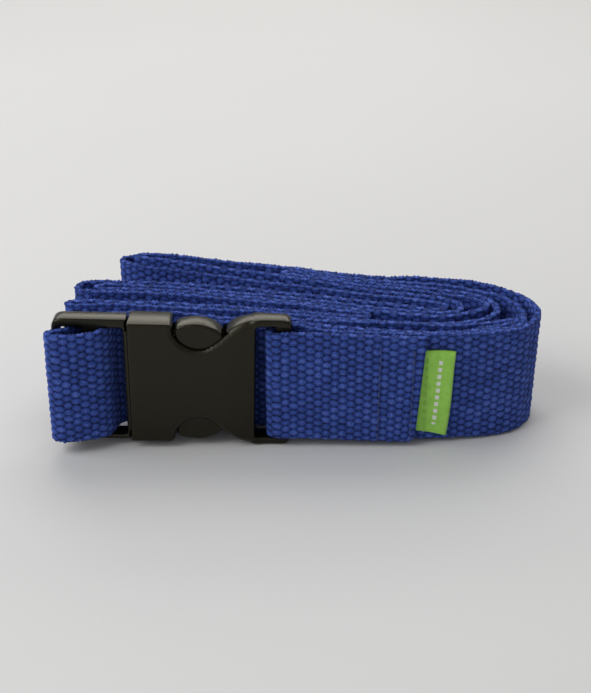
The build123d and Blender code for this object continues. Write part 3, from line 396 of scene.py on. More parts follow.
def webbing_material():
    m, nt, bsdf = mat_new("webbing_cotton")
    L = nt.links
    uv = N(nt, "ShaderNodeUVMap", uv_map="UVMap")
    sep = N(nt, "ShaderNodeSeparateXYZ")
    L.new(uv.outputs[0], sep.inputs[0])
    u, v = sep.outputs[0], sep.outputs[1]
    # slight unevenness of the yarns
    obj = N(nt, "ShaderNodeTexCoord")
    nz = N(nt, "ShaderNodeTexNoise")
    nz.inputs["Scale"].default_value = 330
    nz.inputs["Detail"].default_value = 3
    L.new(obj.outputs["Object"], nz.inputs["Vector"])
    jit = M(nt, "MULTIPLY", M(nt, "SUBTRACT", nz.outputs[0], 0.5), 1.25)
    cu = M(nt, "DIVIDE", M(nt, "ADD", u, jit), PITCH_U)
    col0 = M(nt, "FLOOR", cu)
    fu = M(nt, "SUBTRACT", M(nt, "SUBTRACT", cu, col0), 0.5)
    par = M(nt, "ABSOLUTE", M(nt, "MODULO", col0, 2.0))
    ra = M(nt, "ADD", M(nt, "DIVIDE", M(nt, "ADD", v, jit), PITCH_V), M(nt, "MULTIPLY", par, 0.5))
    rb = M(nt, "ADD", ra, 0.5)
    da = M(nt, "MULTIPLY", M(nt, "SUBTRACT", M(nt, "SUBTRACT", ra, M(nt, "FLOOR", ra)), 0.5), PITCH_V / BEAD_B)
    db = M(nt, "MULTIPLY", M(nt, "SUBTRACT", M(nt, "SUBTRACT", rb, M(nt, "FLOOR", rb)), 0.5), PITCH_V / BEAD_B)
    ua = M(nt, "MULTIPLY", fu, PITCH_U / BEAD_A)
    ub = M(nt, "MULTIPLY", M(nt, "SUBTRACT", 1.0, M(nt, "ABSOLUTE", fu)), PITCH_U / BEAD_A)
    ha = M(nt, "SUBTRACT", M(nt, "SUBTRACT", 1.0, M(nt, "MULTIPLY", ua, ua)), M(nt, "MULTIPLY", da, da))
    hb = M(nt, "SUBTRACT", M(nt, "SUBTRACT", 1.0, M(nt, "MULTIPLY", ub, ub)), M(nt, "MULTIPLY", db, db))
    other = M(nt, "GREATER_THAN", hb, ha)
    beadh = M(nt, "MAXIMUM", M(nt, "MAXIMUM", ha, hb), 0.0)
    col = M(nt, "ADD", col0, M(nt, "MULTIPLY", other, M(nt, "SIGN", fu)))
    row = M(nt, "ADD", M(nt, "MULTIPLY", M(nt, "FLOOR", rb), other), M(nt, "MULTIPLY", M(nt, "FLOOR", ra), M(nt, "SUBTRACT", 1.0, other)))
    # per-bead tone
    comb = N(nt, "ShaderNodeCombineXYZ")
    L.new(col, comb.inputs[0])
    L.new(row, comb.inputs[1])
    wn = N(nt, "ShaderNodeTexWhiteNoise", noise_dimensions="2D")
    L.new(comb.outputs[0], wn.inputs["Vector"])
    # fibres running along each bead
    fib = N(nt, "ShaderNodeTexNoise")
    fib.inputs["Scale"].default_value = 1.0
    fib.inputs["Detail"].default_value = 3
    fib.inputs["Roughness"].default_value = 0.65
    cf = N(nt, "ShaderNodeCombineXYZ")
    L.new(M(nt, "MULTIPLY", u, 1.5), cf.inputs[0])
    L.new(M(nt, "ADD", M(nt, "MULTIPLY", v, 5.5), M(nt, "MULTIPLY", fu, 0.9)), cf.inputs[1])
    L.new(M(nt, "MULTIPLY", wn.outputs["Value"], 9.0), cf.inputs[2])
    L.new(cf.outputs[0], fib.inputs["Vector"])
    fine = N(nt, "ShaderNodeTexNoise")
    fine.inputs["Scale"].default_value = 3600
    fine.inputs["Detail"].default_value = 3
    L.new(obj.outputs["Object"], fine.inputs["Vector"])
    blot = N(nt, "ShaderNodeTexNoise")
    blot.inputs["Scale"].default_value = 55
    blot.inputs["Detail"].default_value = 3
    L.new(obj.outputs["Object"], blot.inputs["Vector"])
    # tone: painted shade darkens the pits between the beads and a painted highlight lightens the bead crowns, both
    # driven by bead height; the fibre streaks, per-bead tone, fine noise and blotches are the yarn's own colour
    # variation
    fibc = M(nt, "ADD", M(nt, "MULTIPLY", M(nt, "SUBTRACT", fib.outputs[0], 0.5), 1.9), 0.40)
    # the bead-height term here is the painted shade in the pits and the painted highlight on the crowns
    tone = M(nt, "ADD", M(nt, "MULTIPLY", M(nt, "POWER", beadh, 0.60), 0.52), M(nt, "MULTIPLY", fibc, 0.60))
    tone = M(nt, "ADD", tone, M(nt, "MULTIPLY", M(nt, "SUBTRACT", wn.outputs["Value"], 0.5), 0.16))
    tone = M(nt, "ADD", tone, M(nt, "MULTIPLY", M(nt, "SUBTRACT", fine.outputs[0], 0.5), 0.55))
    tone = M(nt, "ADD", tone, M(nt, "MULTIPLY", M(nt, "SUBTRACT", blot.outputs[0], 0.5), 0.22), clamp=True)
    # the near-black low stops carry the painted shade of the pits, the light top stops the painted highlight on the
    # crowns
    colr = ramp(nt, tone, [(0.10, (0.0020, 0.0050, 0.022)), (0.30, (0.0075, 0.0190, 0.095)), (0.52, (0.0240, 0.0580, 0.300)), (0.76, (0.0480, 0.1000, 0.440)), (1.0, (0.150, 0.230, 0.660))])
    L.new(colr, bsdf.inputs["Base Color"])
    bsdf.inputs["Roughness"].default_value = 0.88
    bsdf.inputs["Sheen Weight"].default_value = 0.10
    bsdf.inputs["Sheen Roughness"].default_value = 0.45
    bsdf.inputs["Sheen Tint"].default_value = (0.45, 0.55, 1.0, 1)
    bsdf.inputs["Specular IOR Level"].default_value = 0.22
    hgt = M(nt, "ADD", M(nt, "MULTIPLY", M(nt, "POWER", beadh, 0.6), 0.50), M(nt, "MULTIPLY", fib.outputs[0], 0.42))
    hgt = M(nt, "ADD", hgt, M(nt, "MULTIPLY", fine.outputs[0], 0.20))
    bp = N(nt, "ShaderNodeBump")
    bp.inputs["Strength"].default_value = 1.0
    bp.inputs["Distance"].default_value = 0.0009
    L.new(hgt, bp.inputs["Height"])
    L.new(bp.outputs[0], bsdf.inputs["Normal"])
    return m


def plastic_material(name="buckle_plastic", tint=(0.0048, 0.0043, 0.0022)):
    m, nt, bsdf = mat_new(name)
    L = nt.links
    tc = N(nt, "ShaderNodeTexCoord")
    big = N(nt, "ShaderNodeTexNoise")
    big.inputs["Scale"].default_value = 60
    big.inputs["Detail"].default_value = 4
    L.new(tc.outputs["Object"], big.inputs["Vector"])
    fine = N(nt, "ShaderNodeTexNoise")
    fine.inputs["Scale"].default_value = 3400
    fine.inputs["Detail"].default_value = 4
    L.new(tc.outputs["Object"], fine.inputs["Vector"])
    mid = N(nt, "ShaderNodeTexNoise")
    mid.inputs["Scale"].default_value = 900
    L.new(tc.outputs["Object"], mid.inputs["Vector"])
    at = N(nt, "ShaderNodeAttribute", attribute_name="edge")
    fac = M(nt, "ADD", M(nt, "MULTIPLY", big.outputs[0], 0.6), M(nt, "MULTIPLY", mid.outputs[0], 0.4))
    c = ramp(nt, fac, [(0.3, tuple(x * 0.78 for x in tint)), (0.55, tint), (0.8, tuple(x * 1.55 for x in tint))])
    L.new(c, bsdf.inputs["Base Color"])
    r = M(nt, "ADD", 0.36, M(nt, "MULTIPLY", M(nt, "SUBTRACT", big.outputs[0], 0.5), 0.22))
    r = M(nt, "SUBTRACT", r, M(nt, "MULTIPLY", at.outputs["Fac"], 0.16))
    L.new(r, bsdf.inputs["Roughness"])
    bsdf.inputs["Specular IOR Level"].default_value = 0.34
    bsdf.inputs["Specular Tint"].default_value = (1.0, 0.94, 0.72, 1)
    bp = N(nt, "ShaderNodeBump")
    bp.inputs["Strength"].default_value = 0.28
    bp.inputs["Distance"].default_value = 0.00012
    hh = M(nt, "ADD", fine.outputs[0], M(nt, "MULTIPLY", mid.outputs[0], 0.6))
    L.new(hh, bp.inputs["Height"])
    L.new(bp.outputs[0], bsdf.inputs["Normal"])
    return m


def label_material():
    m, nt, bsdf = mat_new("label_woven")
    L = nt.links
    uv = N(nt, "ShaderNodeUVMap", uv_map="UVMap")
    sep = N(nt, "ShaderNodeSeparateXYZ")
    L.new(uv.outputs[0], sep.inputs[0])
    u, v = sep.outputs[0], sep.outputs[1]
    wu = M(nt, "SINE", M(nt, "MULTIPLY", u, 2 * math.pi / 0.30))
    wv = M(nt, "SINE", M(nt, "MULTIPLY", v, 2 * math.pi / 0.24))
    weave = M(nt, "MULTIPLY", wu, wv)
    tc = N(nt, "ShaderNodeTexCoord")
    nz = N(nt, "ShaderNodeTexNoise")
    nz.inputs["Scale"].default_value = 420
    nz.inputs["Detail"].default_value = 4
    L.new(tc.outputs["Object"], nz.inputs["Vector"])
    t = M(nt, "ADD", M(nt, "ADD", 0.5, M(nt, "MULTIPLY", weave, 0.16)), M(nt, "MULTIPLY", M(nt, "SUBTRACT", nz.outputs[0], 0.5), 0.5))
    green = ramp(nt, t, [(0.1, (0.150, 0.350, 0.030)), (0.5, (0.320, 0.680, 0.085)), (0.9, (0.460, 0.800, 0.150))])
    # a generic dashed white line woven in, running along the length of the tape
    def line(at, half):
        d = M(nt, "ABSOLUTE", M(nt, "SUBTRACT", u, at))
        return M(nt, "LESS_THAN", d, half)
    dash = M(nt, "GREATER_THAN", M(nt, "SINE", M(nt, "MULTIPLY", v, 2 * math.pi / 2.6)), -0.25)
    inside = M(nt, "MULTIPLY", M(nt, "GREATER_THAN", v, 3.2), M(nt, "LESS_THAN", v, 27.6))
    mask = M(nt, "MULTIPLY", M(nt, "MULTIPLY", line(5.6, 0.62), dash), inside)
    mix = N(nt, "ShaderNodeMix", data_type="RGBA")
    L.new(mask, mix.inputs["Factor"])
    L.new(green, mix.inputs["A"])
    mix.inputs["B"].default_value = (0.78, 0.80, 0.74, 1)
    L.new(mix.outputs["Result"], bsdf.inputs["Base Color"])
    bsdf.inputs["Roughness"].default_value = 0.62
    bsdf.inputs["Sheen Weight"].default_value = 0.15
    bp = N(nt, "ShaderNodeBump")
    bp.inputs["Strength"].default_value = 0.35
    bp.inputs["Distance"].default_value = 0.0001
    L.new(M(nt, "ADD", weave, M(nt, "MULTIPLY", mask, 1.2)), bp.inputs["Height"])
    L.new(bp.outputs[0], bsdf.inputs["Normal"])
    return m


def thread_material(name, lo, hi):
    m, nt, bsdf = mat_new(name)
    L = nt.links
    tc = N(nt, "ShaderNodeTexCoord")
    wv = N(nt, "ShaderNodeTexWave", wave_type="BANDS", bands_direction="DIAGONAL")
    wv.inputs["Scale"].default_value = 900
    wv.inputs["Distortion"].default_value = 1.5
    L.new(tc.outputs["Object"], wv.inputs["Vector"])
    nz = N(nt, "ShaderNodeTexNoise")
    nz.inputs["Scale"].default_value = 900
    L.new(tc.outputs["Object"], nz.inputs["Vector"])
    f = M(nt, "ADD", M(nt, "MULTIPLY", wv.outputs["Fac"], 0.6), M(nt, "MULTIPLY", nz.outputs[0], 0.4))
    L.new(ramp(nt, f, [(0.1, lo), (0.9, hi)]), bsdf.inputs["Base Color"])
    bsdf.inputs["Roughness"].default_value = 0.6
    bsdf.inputs["Sheen Weight"].default_value = 0.2
    bp = N(nt, "ShaderNodeBump")
    bp.inputs["Strength"].default_value = 0.5
    bp.inputs["Distance"].default_value = 0.0001
    L.new(wv.outputs["Fac"], bp.inputs["Height"])
    L.new(bp.outputs[0], bsdf.inputs["Normal"])
    return m


WEB = webbing_material()
PLA = plastic_material()
LAB = label_material()
THR = thread_material("sewing_thread", (0.006, 0.017, 0.095), (0.026, 0.060, 0.260))

# ------------------------------------------------------------------ the strap
STEP = 0.43
pts_all, s_all = catmull(PATH, STEP)
# arc length of each named break
raw = np.array([[p[0], p[1]] for p in PATH])
raw_s = np.r_[0, np.cumsum(np.linalg.norm(np.diff(raw, axis=0), axis=1))]
raw_s *= s_all[-1] / raw_s[-1]


def cut(lo, hi):
    i, j = np.searchsorted(s_all, lo), np.searchsorted(s_all, hi)
    return pts_all[i:j + 1], s_all[i]


S = {k: raw_s[i] for k, i in BREAKS.items()}
strap_pieces = {}
for name, lo, hi, rows, seed in (
        ("strap_front", 0.0, S["c_mid"], 74, 1.0),
        ("strap_coil", S["c_mid"], S["o2f_cut"], 40, 2.0),
        ("strap_plug_loop", S["o2f_cut"], S["t_cut"], 74, 3.0),
        ("strap_tail", S["t_cut"], s_all[-1], 60, 4.0)):
    p, s0 = cut(lo, hi)
    ob, length = ribbon(name, p, s0, WEB, rows, seed=1.0, lean=name == "strap_plug_loop", sewn_end=name == "strap_front")
    strap_pieces[name] = (ob, length)
    print("strap piece", name, "length mm", round(length, 1), "faces", len(ob.data.polygons))

for name in ("strap_front", "strap_coil", "strap_tail"):
    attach(strap_pieces[name][0], "strap")
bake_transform(strap_pieces["strap_plug_loop"][0])
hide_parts("webbing")
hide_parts("webbing_plug_loop")
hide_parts("webbing_tail")


# ------------------------------------------------------------------ plates with rounded rims
def seg_distance(P, loops):
    best = np.full(len(P), 1e9)
    for lp in loops:
        a = np.asarray(lp, float)
        b = np.roll(a, -1, axis=0)
        for k in range(0, len(a), 64):
            aa, bb = a[k:k + 64], b[k:k + 64]
            ab = bb - aa
            ll = (ab ** 2).sum(1) + 1e-12
            t = np.clip(((P[:, None, :] - aa[None]) * ab[None]).sum(2) / ll[None], 0, 1)
            q = aa[None] + t[..., None] * ab[None]
            d = np.sqrt(((P[:, None, :] - q) ** 2).sum(2)).min(1)
            best = np.minimum(best, d)
    return best


def inside(P, loop):
    a = np.asarray(loop, float)
    b = np.roll(a, -1, axis=0)
    x, y = P[:, 0][:, None], P[:, 1][:, None]
    cond = (a[None, :, 1] > y) != (b[None, :, 1] > y)
    with np.errstate(divide="ignore", invalid="ignore"):
        xi = (b[None, :, 0] - a[None, :, 0]) * (y - a[None, :, 1]) / (b[None, :, 1] - a[None, :, 1]) + a[None, :, 0]
    return ((cond & (x < xi)).sum(1) % 2) == 1


def densify(loop, step=0.45):
    loop = np.asarray(loop, float)
    out = []
    for a, b in zip(loop, np.roll(loop, -1, axis=0)):
        n = max(1, int(np.linalg.norm(b - a) / step))
        out += [a + (b - a) * k / n for k in range(n)]
    return np.array(out)


def round_corners(pts, radii, n=6):
    """Polygon with each corner rounded by its own radius."""
    pts = [np.array(p, float) for p in pts]
    out = []
    k = len(pts)
    for i in range(k):
        p, a, b = pts[i], pts[i - 1], pts[(i + 1) % k]
        r = radii[i] if hasattr(radii, "__len__") else radii
        if r <= 0:
            out.append(p)
            continue
        u, v = a - p, b - p
        lu, lv = np.linalg.norm(u), np.linalg.norm(v)
        u, v = u / lu, v / lv
        ang = math.acos(max(-1, min(1, float(u @ v))))
        if ang > math.pi - 0.03:
            out.append(p)
            continue
        d = min(r / math.tan(ang / 2), 0.48 * lu, 0.48 * lv)
        p0, p1 = p + u * d, p + v * d
        for j in range(n + 1):
            t = j / n
            out.append((1 - t) ** 2 * p0 + 2 * t * (1 - t) * p + t * t * p1)
    return np.array(out)


def plate(name, outer, holes, half, mat, rim=0.8, grid=1.1, mid=MIDY, shape=None, offset_y=0.0, dense=0.45):
    """Moulded plate in the XZ plane. half(x, z) is half the thickness; shape(x, z, side) lowers a face locally."""
    loops = [densify(outer, dense)] + [densify(h, dense) for h in holes]
    loops_n = [len(l) for l in loops]
    bd = np.vstack(loops)
    extra = []
    ring_k = [0.14, 0.5, 1.0, 2.15]
    for li, lp in enumerate(loops):
        t = np.roll(lp, -1, axis=0) - np.roll(lp, 1, axis=0)
        t /= np.linalg.norm(t, axis=1)[:, None] + 1e-9
        nn = np.column_stack([-t[:, 1], t[:, 0]])
        area = 0.5 * np.sum(lp[:, 0] * np.roll(lp[:, 1], -1) - np.roll(lp[:, 0], -1) * lp[:, 1])
        if (area < 0) != (li > 0):
            nn = -nn
        for f in ring_k:
            q = lp + nn * rim * f
            extra.append(q[::1 if f < 0.9 or f > 2 else 2])
    gx = np.arange(bd[:, 0].min() + 0.3, bd[:, 0].max(), grid)
    gz = np.arange(bd[:, 1].min() + 0.3, bd[:, 1].max(), grid)
    G = np.array([(x + (0.5 * grid if j % 2 else 0), z) for j, z in enumerate(gz) for x in gx])
    cand = np.vstack(extra + [G])
    ok = inside(cand, loops[0])
    for h in loops[1:]:
        ok &= ~inside(cand, h)
    cand = cand[ok]
    d = seg_distance(cand, loops)
    cand = cand[d > 0.09 * rim]
    # thin out points that nearly coincide
    key = {}
    keep = []
    for i, p in enumerate(cand):
        kk = (round(p[0] / 0.16), round(p[1] / 0.16))
        if kk in key:
            continue
        key[kk] = 1
        keep.append(i)
    cand = cand[keep]
    pts = np.vstack([bd, cand])
    edges = []
    o = 0
    for n_ in loops_n:
        edges += [(o + k, o + (k + 1) % n_) for k in range(n_)]
        o += n_
    res = delaunay_2d_cdt([Vector(p) for p in pts], edges, [], 0, 1e-7)
    P2 = np.array([tuple(v) for v in res[0]])
    tri = [tuple(f) for f in res[2] if len(f) == 3]
    cen = P2[np.array(tri)].mean(axis=1)
    ok = inside(cen, loops[0])
    for h in loops[1:]:
        ok &= ~inside(cen, h)
    tri = [t for t, k in zip(tri, ok) if k]
    used = sorted({i for t in tri for i in t})
    remap = {u: k for k, u in enumerate(used)}
    P2 = P2[used]
    tri = [tuple(remap[i] for i in t) for t in tri]
    nb = len(bd)
    d = seg_distance(P2, loops)
    dd = np.clip(d, 0, rim)
    drop = rim - np.sqrt(np.maximum(0, rim ** 2 - (rim - dd) ** 2))
    H = np.array([half(x, z) for x, z in P2])
    n = len(P2)
    verts = []
    for side in (-1, 1):
        sh = np.array([shape(x, z, side) for x, z in P2]) if shape else 0.0
        y = mid + offset_y + side * (H - drop - sh)
        verts.append(np.column_stack([P2[:, 0], y, P2[:, 1]]))
    V = world(tilted(np.vstack(verts)))
    faces = []
    for a, b, c in tri:
        ar = (P2[b][0] - P2[a][0]) * (P2[c][1] - P2[a][1]) - (P2[c][0] - P2[a][0]) * (P2[b][1] - P2[a][1])
        if ar < 0:
            b, c = c, b
        faces.append((a, b, c))
        faces.append((n + a, n + c, n + b))
    # rim walls: boundary edges of the triangulation
    cnt = {}
    for f in faces[::2]:
        for k in range(3):
            e = (f[k], f[(k + 1) % 3])
            cnt[frozenset(e)] = cnt.get(frozenset(e), []) + [e]
    for e in cnt.values():
        if len(e) == 1:
            a, b = e[0]
            faces.append((b, a, n + a, n + b))
    ob = new_object(name, V, faces, mat)
    at = ob.data.attributes.new("edge", "FLOAT", "POINT")
    ev = np.clip(1 - d / (rim * 1.1), 0, 1)
    at.data.foreach_set("value", np.r_[ev, ev].astype(np.float32))
    return ob


def join(target, others):
    bpy.ops.object.select_all(action="DESELECT")
    for o in others:
        o.select_set(True)
    target.select_set(True)
    bpy.context.view_layer.objects.active = target
    bpy.ops.object.join()
    return target


def box_mesh(x0, x1, y0, y1, z0, z1):
    v = [(x, y, z) for x in (x0, x1) for y in (y0, y1) for z in (z0, z1)]
    f = [(0, 1, 3, 2), (4, 6, 7, 5), (0, 4, 5, 1), (2, 3, 7, 6), (0, 2, 6, 4), (1, 5, 7, 3)]
    return v, f


# ------------------------------------------------------------------ socket
def smooth_pts(P, step=0.5):
    P3 = np.column_stack([np.asarray(P, float), np.zeros(len(P))])
    q, _ = catmull(P3, step)
    return q[:, :2]


win_curve = smooth_pts([(-38.3, 20.0), (-37.9, 18.5), (-37.2, 17.2), (-35.7, 15.2), (-33.4, 13.5), (-30.6, 12.7), (-27.8, 13.2), (-25.2, 14.9),
                        (-22.0, 17.9), (-19.2, 20.1), (-16.2, 21.5), (-13.2, 22.25)], 0.5)


def socket_outline():
    upper = [np.array([-52.0, 20.7]), np.array([-51.7, 21.1]), np.array([-39.4, 21.1]), np.array([-38.7, 20.8])] + [p for p in win_curve] + [np.array(p) for p in ((-11.2, 22.45), (-7.6, 22.4))]
    corner = round_corners([(-7.6, 22.4), (-1.4, 22.4), (-1.4, 13.0)], [0, 5.2, 0], 9)[1:-1]
    right = list(corner)
    top = upper + right
    pts = [(p[0], MIDZ + p[1]) for p in top]
    low = [(p[0], MIDZ - p[1]) for p in top[::-1]]
    return np.array(pts + low)


def socket_half(x, z):
    # full collar, then tapering to the thin ears; the face is very slightly crowned
    if x < -22:
        h = 5.0
    else:
        t = min(1.0, (x + 22) / 14.0)
        h = 5.0 + (3.0 - 5.0) * (t * t * (3 - 2 * t))
    if x > -3.2:
        h -= 0.5 * ((x + 3.2) / 1.8) ** 2
    return h


win_up = np.array([(p[0], MIDZ + p[1]) for p in win_curve])
win_dn = np.array([(p[0], MIDZ - p[1]) for p in win_curve])


def polyline_d(x, z, line):
    a, b = line[:-1], line[1:]
    ab = b - a
    t = np.clip(((x - a[:, 0]) * ab[:, 0] + (z - a[:, 1]) * ab[:, 1]) / ((ab ** 2).sum(1) + 1e-9), 0, 1)
    return float(np.hypot(a[:, 0] + t * ab[:, 0] - x, a[:, 1] + t * ab[:, 1] - z).min())


def socket_shape(x, z, side):
    """Bevel band round the thumb windows."""
    if x < -42 or x > -8:
        return 0.0
    d = min(polyline_d(x, z, win_up[4:-3]), polyline_d(x, z, win_dn[4:-3]))
    w = 1.8
    if d >= w:
        return 0.0
    return 1.3 * (1 - d / w)


slot_hole = round_corners([(-12.6, MIDZ - 19.9), (-6.2, MIDZ - 19.9), (-6.2, MIDZ + 19.9), (-12.6, MIDZ + 19.9)], 1.0, 4)
gap_hole = None
socket = plate("socket_shell", socket_outline(), [slot_hole], socket_half, PLA, rim=0.85, grid=0.85, shape=socket_shape)

# open the cavity and thin the bar between the ears
def boolean_cut(ob, boxes):
    for i, bx in enumerate(boxes):
        v, f = box_mesh(*bx)
        cutter = new_object("cutter", world(tilted(np.array(v))), f, PLA, smooth=False)
        bm = bmesh.new()
        bm.from_mesh(cutter.data)
        bmesh.ops.recalc_face_normals(bm, faces=bm.faces)
        bm.to_mesh(cutter.data)
        bm.free()
        md = ob.modifiers.new("cut", "BOOLEAN")
        md.operation = "DIFFERENCE"
        md.solver = "EXACT"
        md.object = cutter
        dg = bpy.context.evaluated_depsgraph_get()
        me = bpy.data.meshes.new_from_object(ob.evaluated_get(dg))
        ob.modifiers.clear()
        old = ob.data
        ob.data = me
        bpy.data.objects.remove(cutter)
    return ob


boolean_cut(socket, [
    (-57.0, -17.0, MIDY - 3.9, MIDY + 3.9, MIDZ - 18.2, MIDZ + 18.2),
    (-6.4, 3.0, MIDY - 9, MIDY - 2.2, MIDZ - 19.9, MIDZ + 19.9),
    (-6.4, 3.0, MIDY + 2.2, MIDY + 9, MIDZ - 19.9, MIDZ + 19.9),
    (-1.75, 3.0, MIDY - 9, MIDY + 9, MIDZ - 19.9, MIDZ + 19.9)])
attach(socket, "strap")
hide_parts("socket_body")

# ------------------------------------------------------------------ plug
plug_outer = round_corners([(-75.2, MIDZ - 21.5), (-52.3, MIDZ - 21.5), (-52.3, MIDZ + 21.5), (-75.2, MIDZ + 21.5)], [3.6, 0.5, 0.5, 3.6], 8)
h1 = round_corners([(-73.0, MIDZ - 19.8), (-66.0, MIDZ - 19.8), (-66.0, MIDZ + 18.6), (-73.0, MIDZ + 18.6)], 0.9, 4)
h2 = round_corners([(-59.6, MIDZ - 19.8), (-53.4, MIDZ - 19.8), (-53.4, MIDZ + 18.6), (-59.6, MIDZ + 18.6)], 0.9, 4)
frame_p = plate("plug_frame_shell", plug_outer, [h1, h2], lambda x, z: 3.0, PLA, rim=0.8, grid=1.2, dense=0.5)
base = plate("plug_base", round_corners([(-52.9, MIDZ - 17.85), (-46.5, MIDZ - 17.3), (-46.5, MIDZ + 17.3), (-52.9, MIDZ + 17.85)], 0.6, 3), [], lambda x, z: 3.55, PLA, rim=0.4, grid=1.6, dense=0.8)
tongue = plate("plug_tongue", round_corners([(-47.5, MIDZ - 4.0), (-24.0, MIDZ - 3.3), (-22.0, MIDZ - 1.6), (-22.0, MIDZ + 1.6), (-24.0, MIDZ + 3.3), (-47.5, MIDZ + 4.0)], 0.8, 3), [], lambda x, z: 2.6, PLA, rim=0.6, grid=1.4, dense=0.7)
boolean_cut(base, [
    (-49.2, -45.5, MIDY - 9, MIDY + 9, MIDZ + 12.4, MIDZ + 25),
    (-49.2, -45.5, MIDY - 9, MIDY + 9, MIDZ - 25, MIDZ - 12.4)])
plug = join(frame_p, [base, tongue])
plug.name = "plug_shell"
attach(plug, "plug")
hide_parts("plug_frame")

# ------------------------------------------------------------------ prongs
for nm, s in (("prong_upper", 1), ("prong_lower", -1)):
    outline = smooth_pts([(-37.3, 12.6), (-37.35, 16.0), (-37.5, 18.7), (-36.6, 19.6), (-34.2, 20.35), (-31.0, 20.7), (-28.2, 20.35), (-25.6, 19.4),
                          (-23.6, 18.0), (-22.5, 16.8), (-21.6, 14.8), (-20.9, 13.0), (-22.0, 11.8), (-24.5, 11.15), (-29.0, 10.95), (-33.5, 10.95), (-36.4, 11.3)], 0.5)
    outline = np.array([(x, MIDZ + s * z) for x, z in outline])
    if s < 0:
        outline = outline[::-1]
    pad = plate(nm + "_pad", outline, [], lambda x, z: 3.5, PLA, rim=0.9, grid=1.0)
    arm = plate(nm + "_arm", np.array([(x, MIDZ + s * z) for x, z in round_corners([(-50.9, 13.8), (-36.8, 13.3), (-36.8, 16.5), (-50.9, 16.2)], [1.1, 0, 0, 1.1], 4)]), [], lambda x, z: 2.6, PLA, rim=0.5, grid=1.2)
    pr = join(pad, [arm])
    pr.name = nm + "_shell"
    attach(pr, nm)
    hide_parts(nm)

# ------------------------------------------------------------------ label: a folded loop of woven tape
def make_label():
    x0, x1 = 39.5, 49.7
    verts, faces, uvs = [], [], []
    nu, nv = 14, 34
    def y_mid(x, z):
        t = (x - x0) / (x1 - x0)
        zz = (z - 4.0) / 31.0
        return 1.75 + 0.35 * math.sin(t * 2.6) - 0.55 * t * zz + 0.25 * (1 - zz)
    corners = np.array([[(38.2, 5.6), (48.4, 3.2)], [(40.2, 34.3), (49.9, 34.2)]])
    for layer in (0, 1):
        for j in range(nv + 1):
            for i in range(nu + 1):
                u = i / nu
                v = j / nv
                p = (1 - v) * ((1 - u) * corners[0, 0] + u * corners[0, 1]) + v * ((1 - u) * corners[1, 0] + u * corners[1, 1])
                x, z = p[0] + 0.25 * math.sin(v * 5.1) * u, p[1] + 0.2 * math.sin(u * 3.0)
                crease = 0.22 * math.exp(-((v - 0.93) / 0.018) ** 2) - 0.25 * max(0.0, v - 0.93) / 0.07
                half = 0.28 * (1 - max(0, (u - 0.86) / 0.14) ** 2) ** 0.5
                verts.append((x, y_mid(x, z) - crease + (-half if layer == 0 else half), z))
                uvs.append((u * 10.2, v * 31.0))
    n = (nu + 1) * (nv + 1)
    for layer in (0, 1):
        for j in range(nv):
            for i in range(nu):
                a = layer * n + j * (nu + 1) + i
                q = (a, a + 1, a + nu + 2, a + nu + 1)
                faces.append(q if layer == 0 else q[::-1])
    for j in range(nv):      # the fold along the free long side
        a = j * (nu + 1) + nu
        faces.append((a, n + a, n + a + nu + 1, a + nu + 1))
    ob = new_object("label_tape", world(np.array(verts)), faces, LAB, uv=np.array(uvs))
    bm = bmesh.new()
    bm.from_mesh(ob.data)
    bmesh.ops.remove_doubles(bm, verts=bm.verts, dist=1e-6)
    bmesh.ops.recalc_face_normals(bm, faces=bm.faces)
    bm.to_mesh(ob.data)
    bm.free()
    return ob


label = make_label()
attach(label, "strap")
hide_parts("side_label")


# ------------------------------------------------------------------ stitches: short sunk thread arcs
def stitches(name, items, mat):
    """items: (centre, direction, outward) in working mm. Each stitch is a small rounded arc of thread."""
    verts, faces = [], []
    L, R = 1.15, 0.24
    for c, t, o in items:
        c, t, o = (np.array(q, float) for q in (c, t, o))
        b = np.cross(t, o)
        base_i = len(verts)
        K, Q = 7, 8
        for k in range(K):
            w = -1 + 2 * k / (K - 1)
            p = c + t * L * w + o * (0.20 * (1 - w * w) - 0.10)
            r = R * math.sqrt(max(0.06, 1 - (abs(w)) ** 3))
            for q in range(Q):
                a = 2 * math.pi * q / Q
                verts.append(p + b * r * 1.25 * math.cos(a) + o * r * math.sin(a))
        for k in range(K - 1):
            for q in range(Q):
                i0 = base_i + k * Q + q
                i1 = base_i + k * Q + (q + 1) % Q
                faces.append((i0, i1, i1 + Q, i0 + Q))
        faces.append(tuple(base_i + q for q in range(Q))[::-1])
        faces.append(tuple(base_i + (K - 1) * Q + q for q in range(Q)))
    ob = new_object(name, world(np.array(verts)), faces, mat)
    bm = bmesh.new()
    bm.from_mesh(ob.data)
    bmesh.ops.recalc_face_normals(bm, faces=bm.faces)
    bm.to_mesh(ob.data)
    bm.free()
    return ob


def column(x, y, z0, z1, step=3.1):
    out = []
    z = z0 + 1.2
    while z < z1 - 1.0:
        out.append(((x, y, z), (0, 0, 1), (0, -1, 0)))
        z += step
    return out


seam = stitches("seam_thread", column(36.6, -0.02, 2.2, 37.0) + column(26.2, -0.02, 3.2, 38.0), THR)
lab_st = stitches("label_thread", column(41.0, 1.40, 5.0, 34.0), thread_material("label_thread_mat", (0.20, 0.44, 0.05), (0.34, 0.62, 0.09)))
hc, hn = HEM_POS, HEM_NORMAL
hem = stitches("hem_thread", [((hc[0], hc[1], 3.0 + 3.1 * k + 1.2), (0, 0, 1), (hn[0], hn[1], 0)) for k in range(11)], THR)
for ob, node in ((seam, "seam_stitching"), (lab_st, "label_stitching"), (hem, "hem_stitching")):
    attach(ob, "strap")
    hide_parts(node)

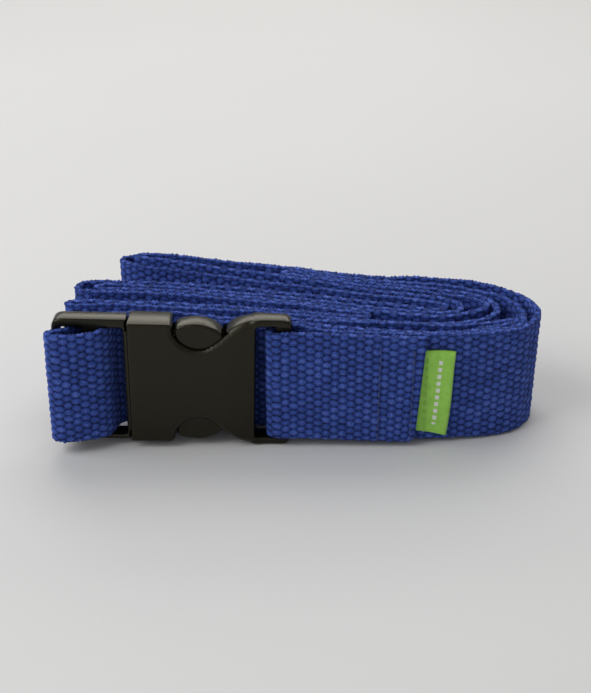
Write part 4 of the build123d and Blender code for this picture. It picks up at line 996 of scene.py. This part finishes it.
# ------------------------------------------------------------------ set: floor, camera, light
def stage_floor():
    me = bpy.data.meshes.new("floor")
    g = 3.0
    me.from_pydata([(-g, -g, 0), (g, -g, 0), (g, g, 0), (-g, g, 0)], [], [(0, 1, 2, 3)])
    ob = bpy.data.objects.new("floor", me)
    bpy.context.scene.collection.objects.link(ob)
    m, nt, bsdf = mat_new("floor_paper")
    tc = N(nt, "ShaderNodeTexCoord")
    nz = N(nt, "ShaderNodeTexNoise")
    nz.inputs["Scale"].default_value = 3.0
    nt.links.new(tc.outputs["Object"], nz.inputs["Vector"])
    base_c = ramp(nt, nz.outputs[0], [(0.2, (0.64, 0.64, 0.64)), (0.8, (0.67, 0.67, 0.67))])
    nt.links.new(base_c, bsdf.inputs["Base Color"])
    bsdf.inputs["Roughness"].default_value = 0.9
    bsdf.inputs["Specular IOR Level"].default_value = 0.0
    me.materials.append(m)
    return ob


stage_floor()
cam_d = bpy.data.cameras.new("cam")
cam = bpy.data.objects.new("cam", cam_d)
bpy.context.scene.collection.objects.link(cam)
cam.location = ((0 - OX) * MM, (-322.8 - OY) * MM, 212.9 * MM)
cam.rotation_euler = (math.radians(60), 0, 0)
cam_d.sensor_fit = "HORIZONTAL"
cam_d.sensor_width = 36.0
cam_d.lens = 36.0 * 1200.0 / 591.0
cam_d.shift_x = 0.0
cam_d.shift_y = SHIFT_Y
cam_d.clip_start = 0.01
cam_d.clip_end = 20
bpy.context.scene.camera = cam


def area(name, loc, aim, size, power, color=(1, 1, 1)):
    d = bpy.data.lights.new(name, "AREA")
    d.shape = "RECTANGLE"
    d.size, d.size_y = size
    d.energy = power
    d.color = color
    o = bpy.data.objects.new(name, d)
    bpy.context.scene.collection.objects.link(o)
    o.location = loc
    o.rotation_euler = (Vector(aim) - Vector(loc)).to_track_quat("-Z", "Y").to_euler()
    return o


area("key", (-0.70, -0.25, 0.70), (0, 0, 0.02), (0.7, 0.7), 5.2)
area("top", (0.05, 0.45, 0.75), (0, 0, 0), (1.0, 0.5), 3.0, (1, 0.98, 0.95))
area("fill", (-0.25, -0.9, 0.45), (0, 0, 0.02), (0.9, 0.6), 0.60)
area("rim", (0.0, 1.15, 0.72), (0, 0, 0.03), (1.8, 0.35), 6.0, (1, 0.97, 0.90))
w = bpy.data.worlds.new("studio")
bpy.context.scene.world = w
w.use_nodes = True
bg = next(x for x in w.node_tree.nodes if x.type == "BACKGROUND")
bg.inputs[0].default_value = (0.93, 0.94, 0.96, 1)
bg.inputs[1].default_value = 0.34
bpy.context.scene.view_settings.view_transform = "Standard"
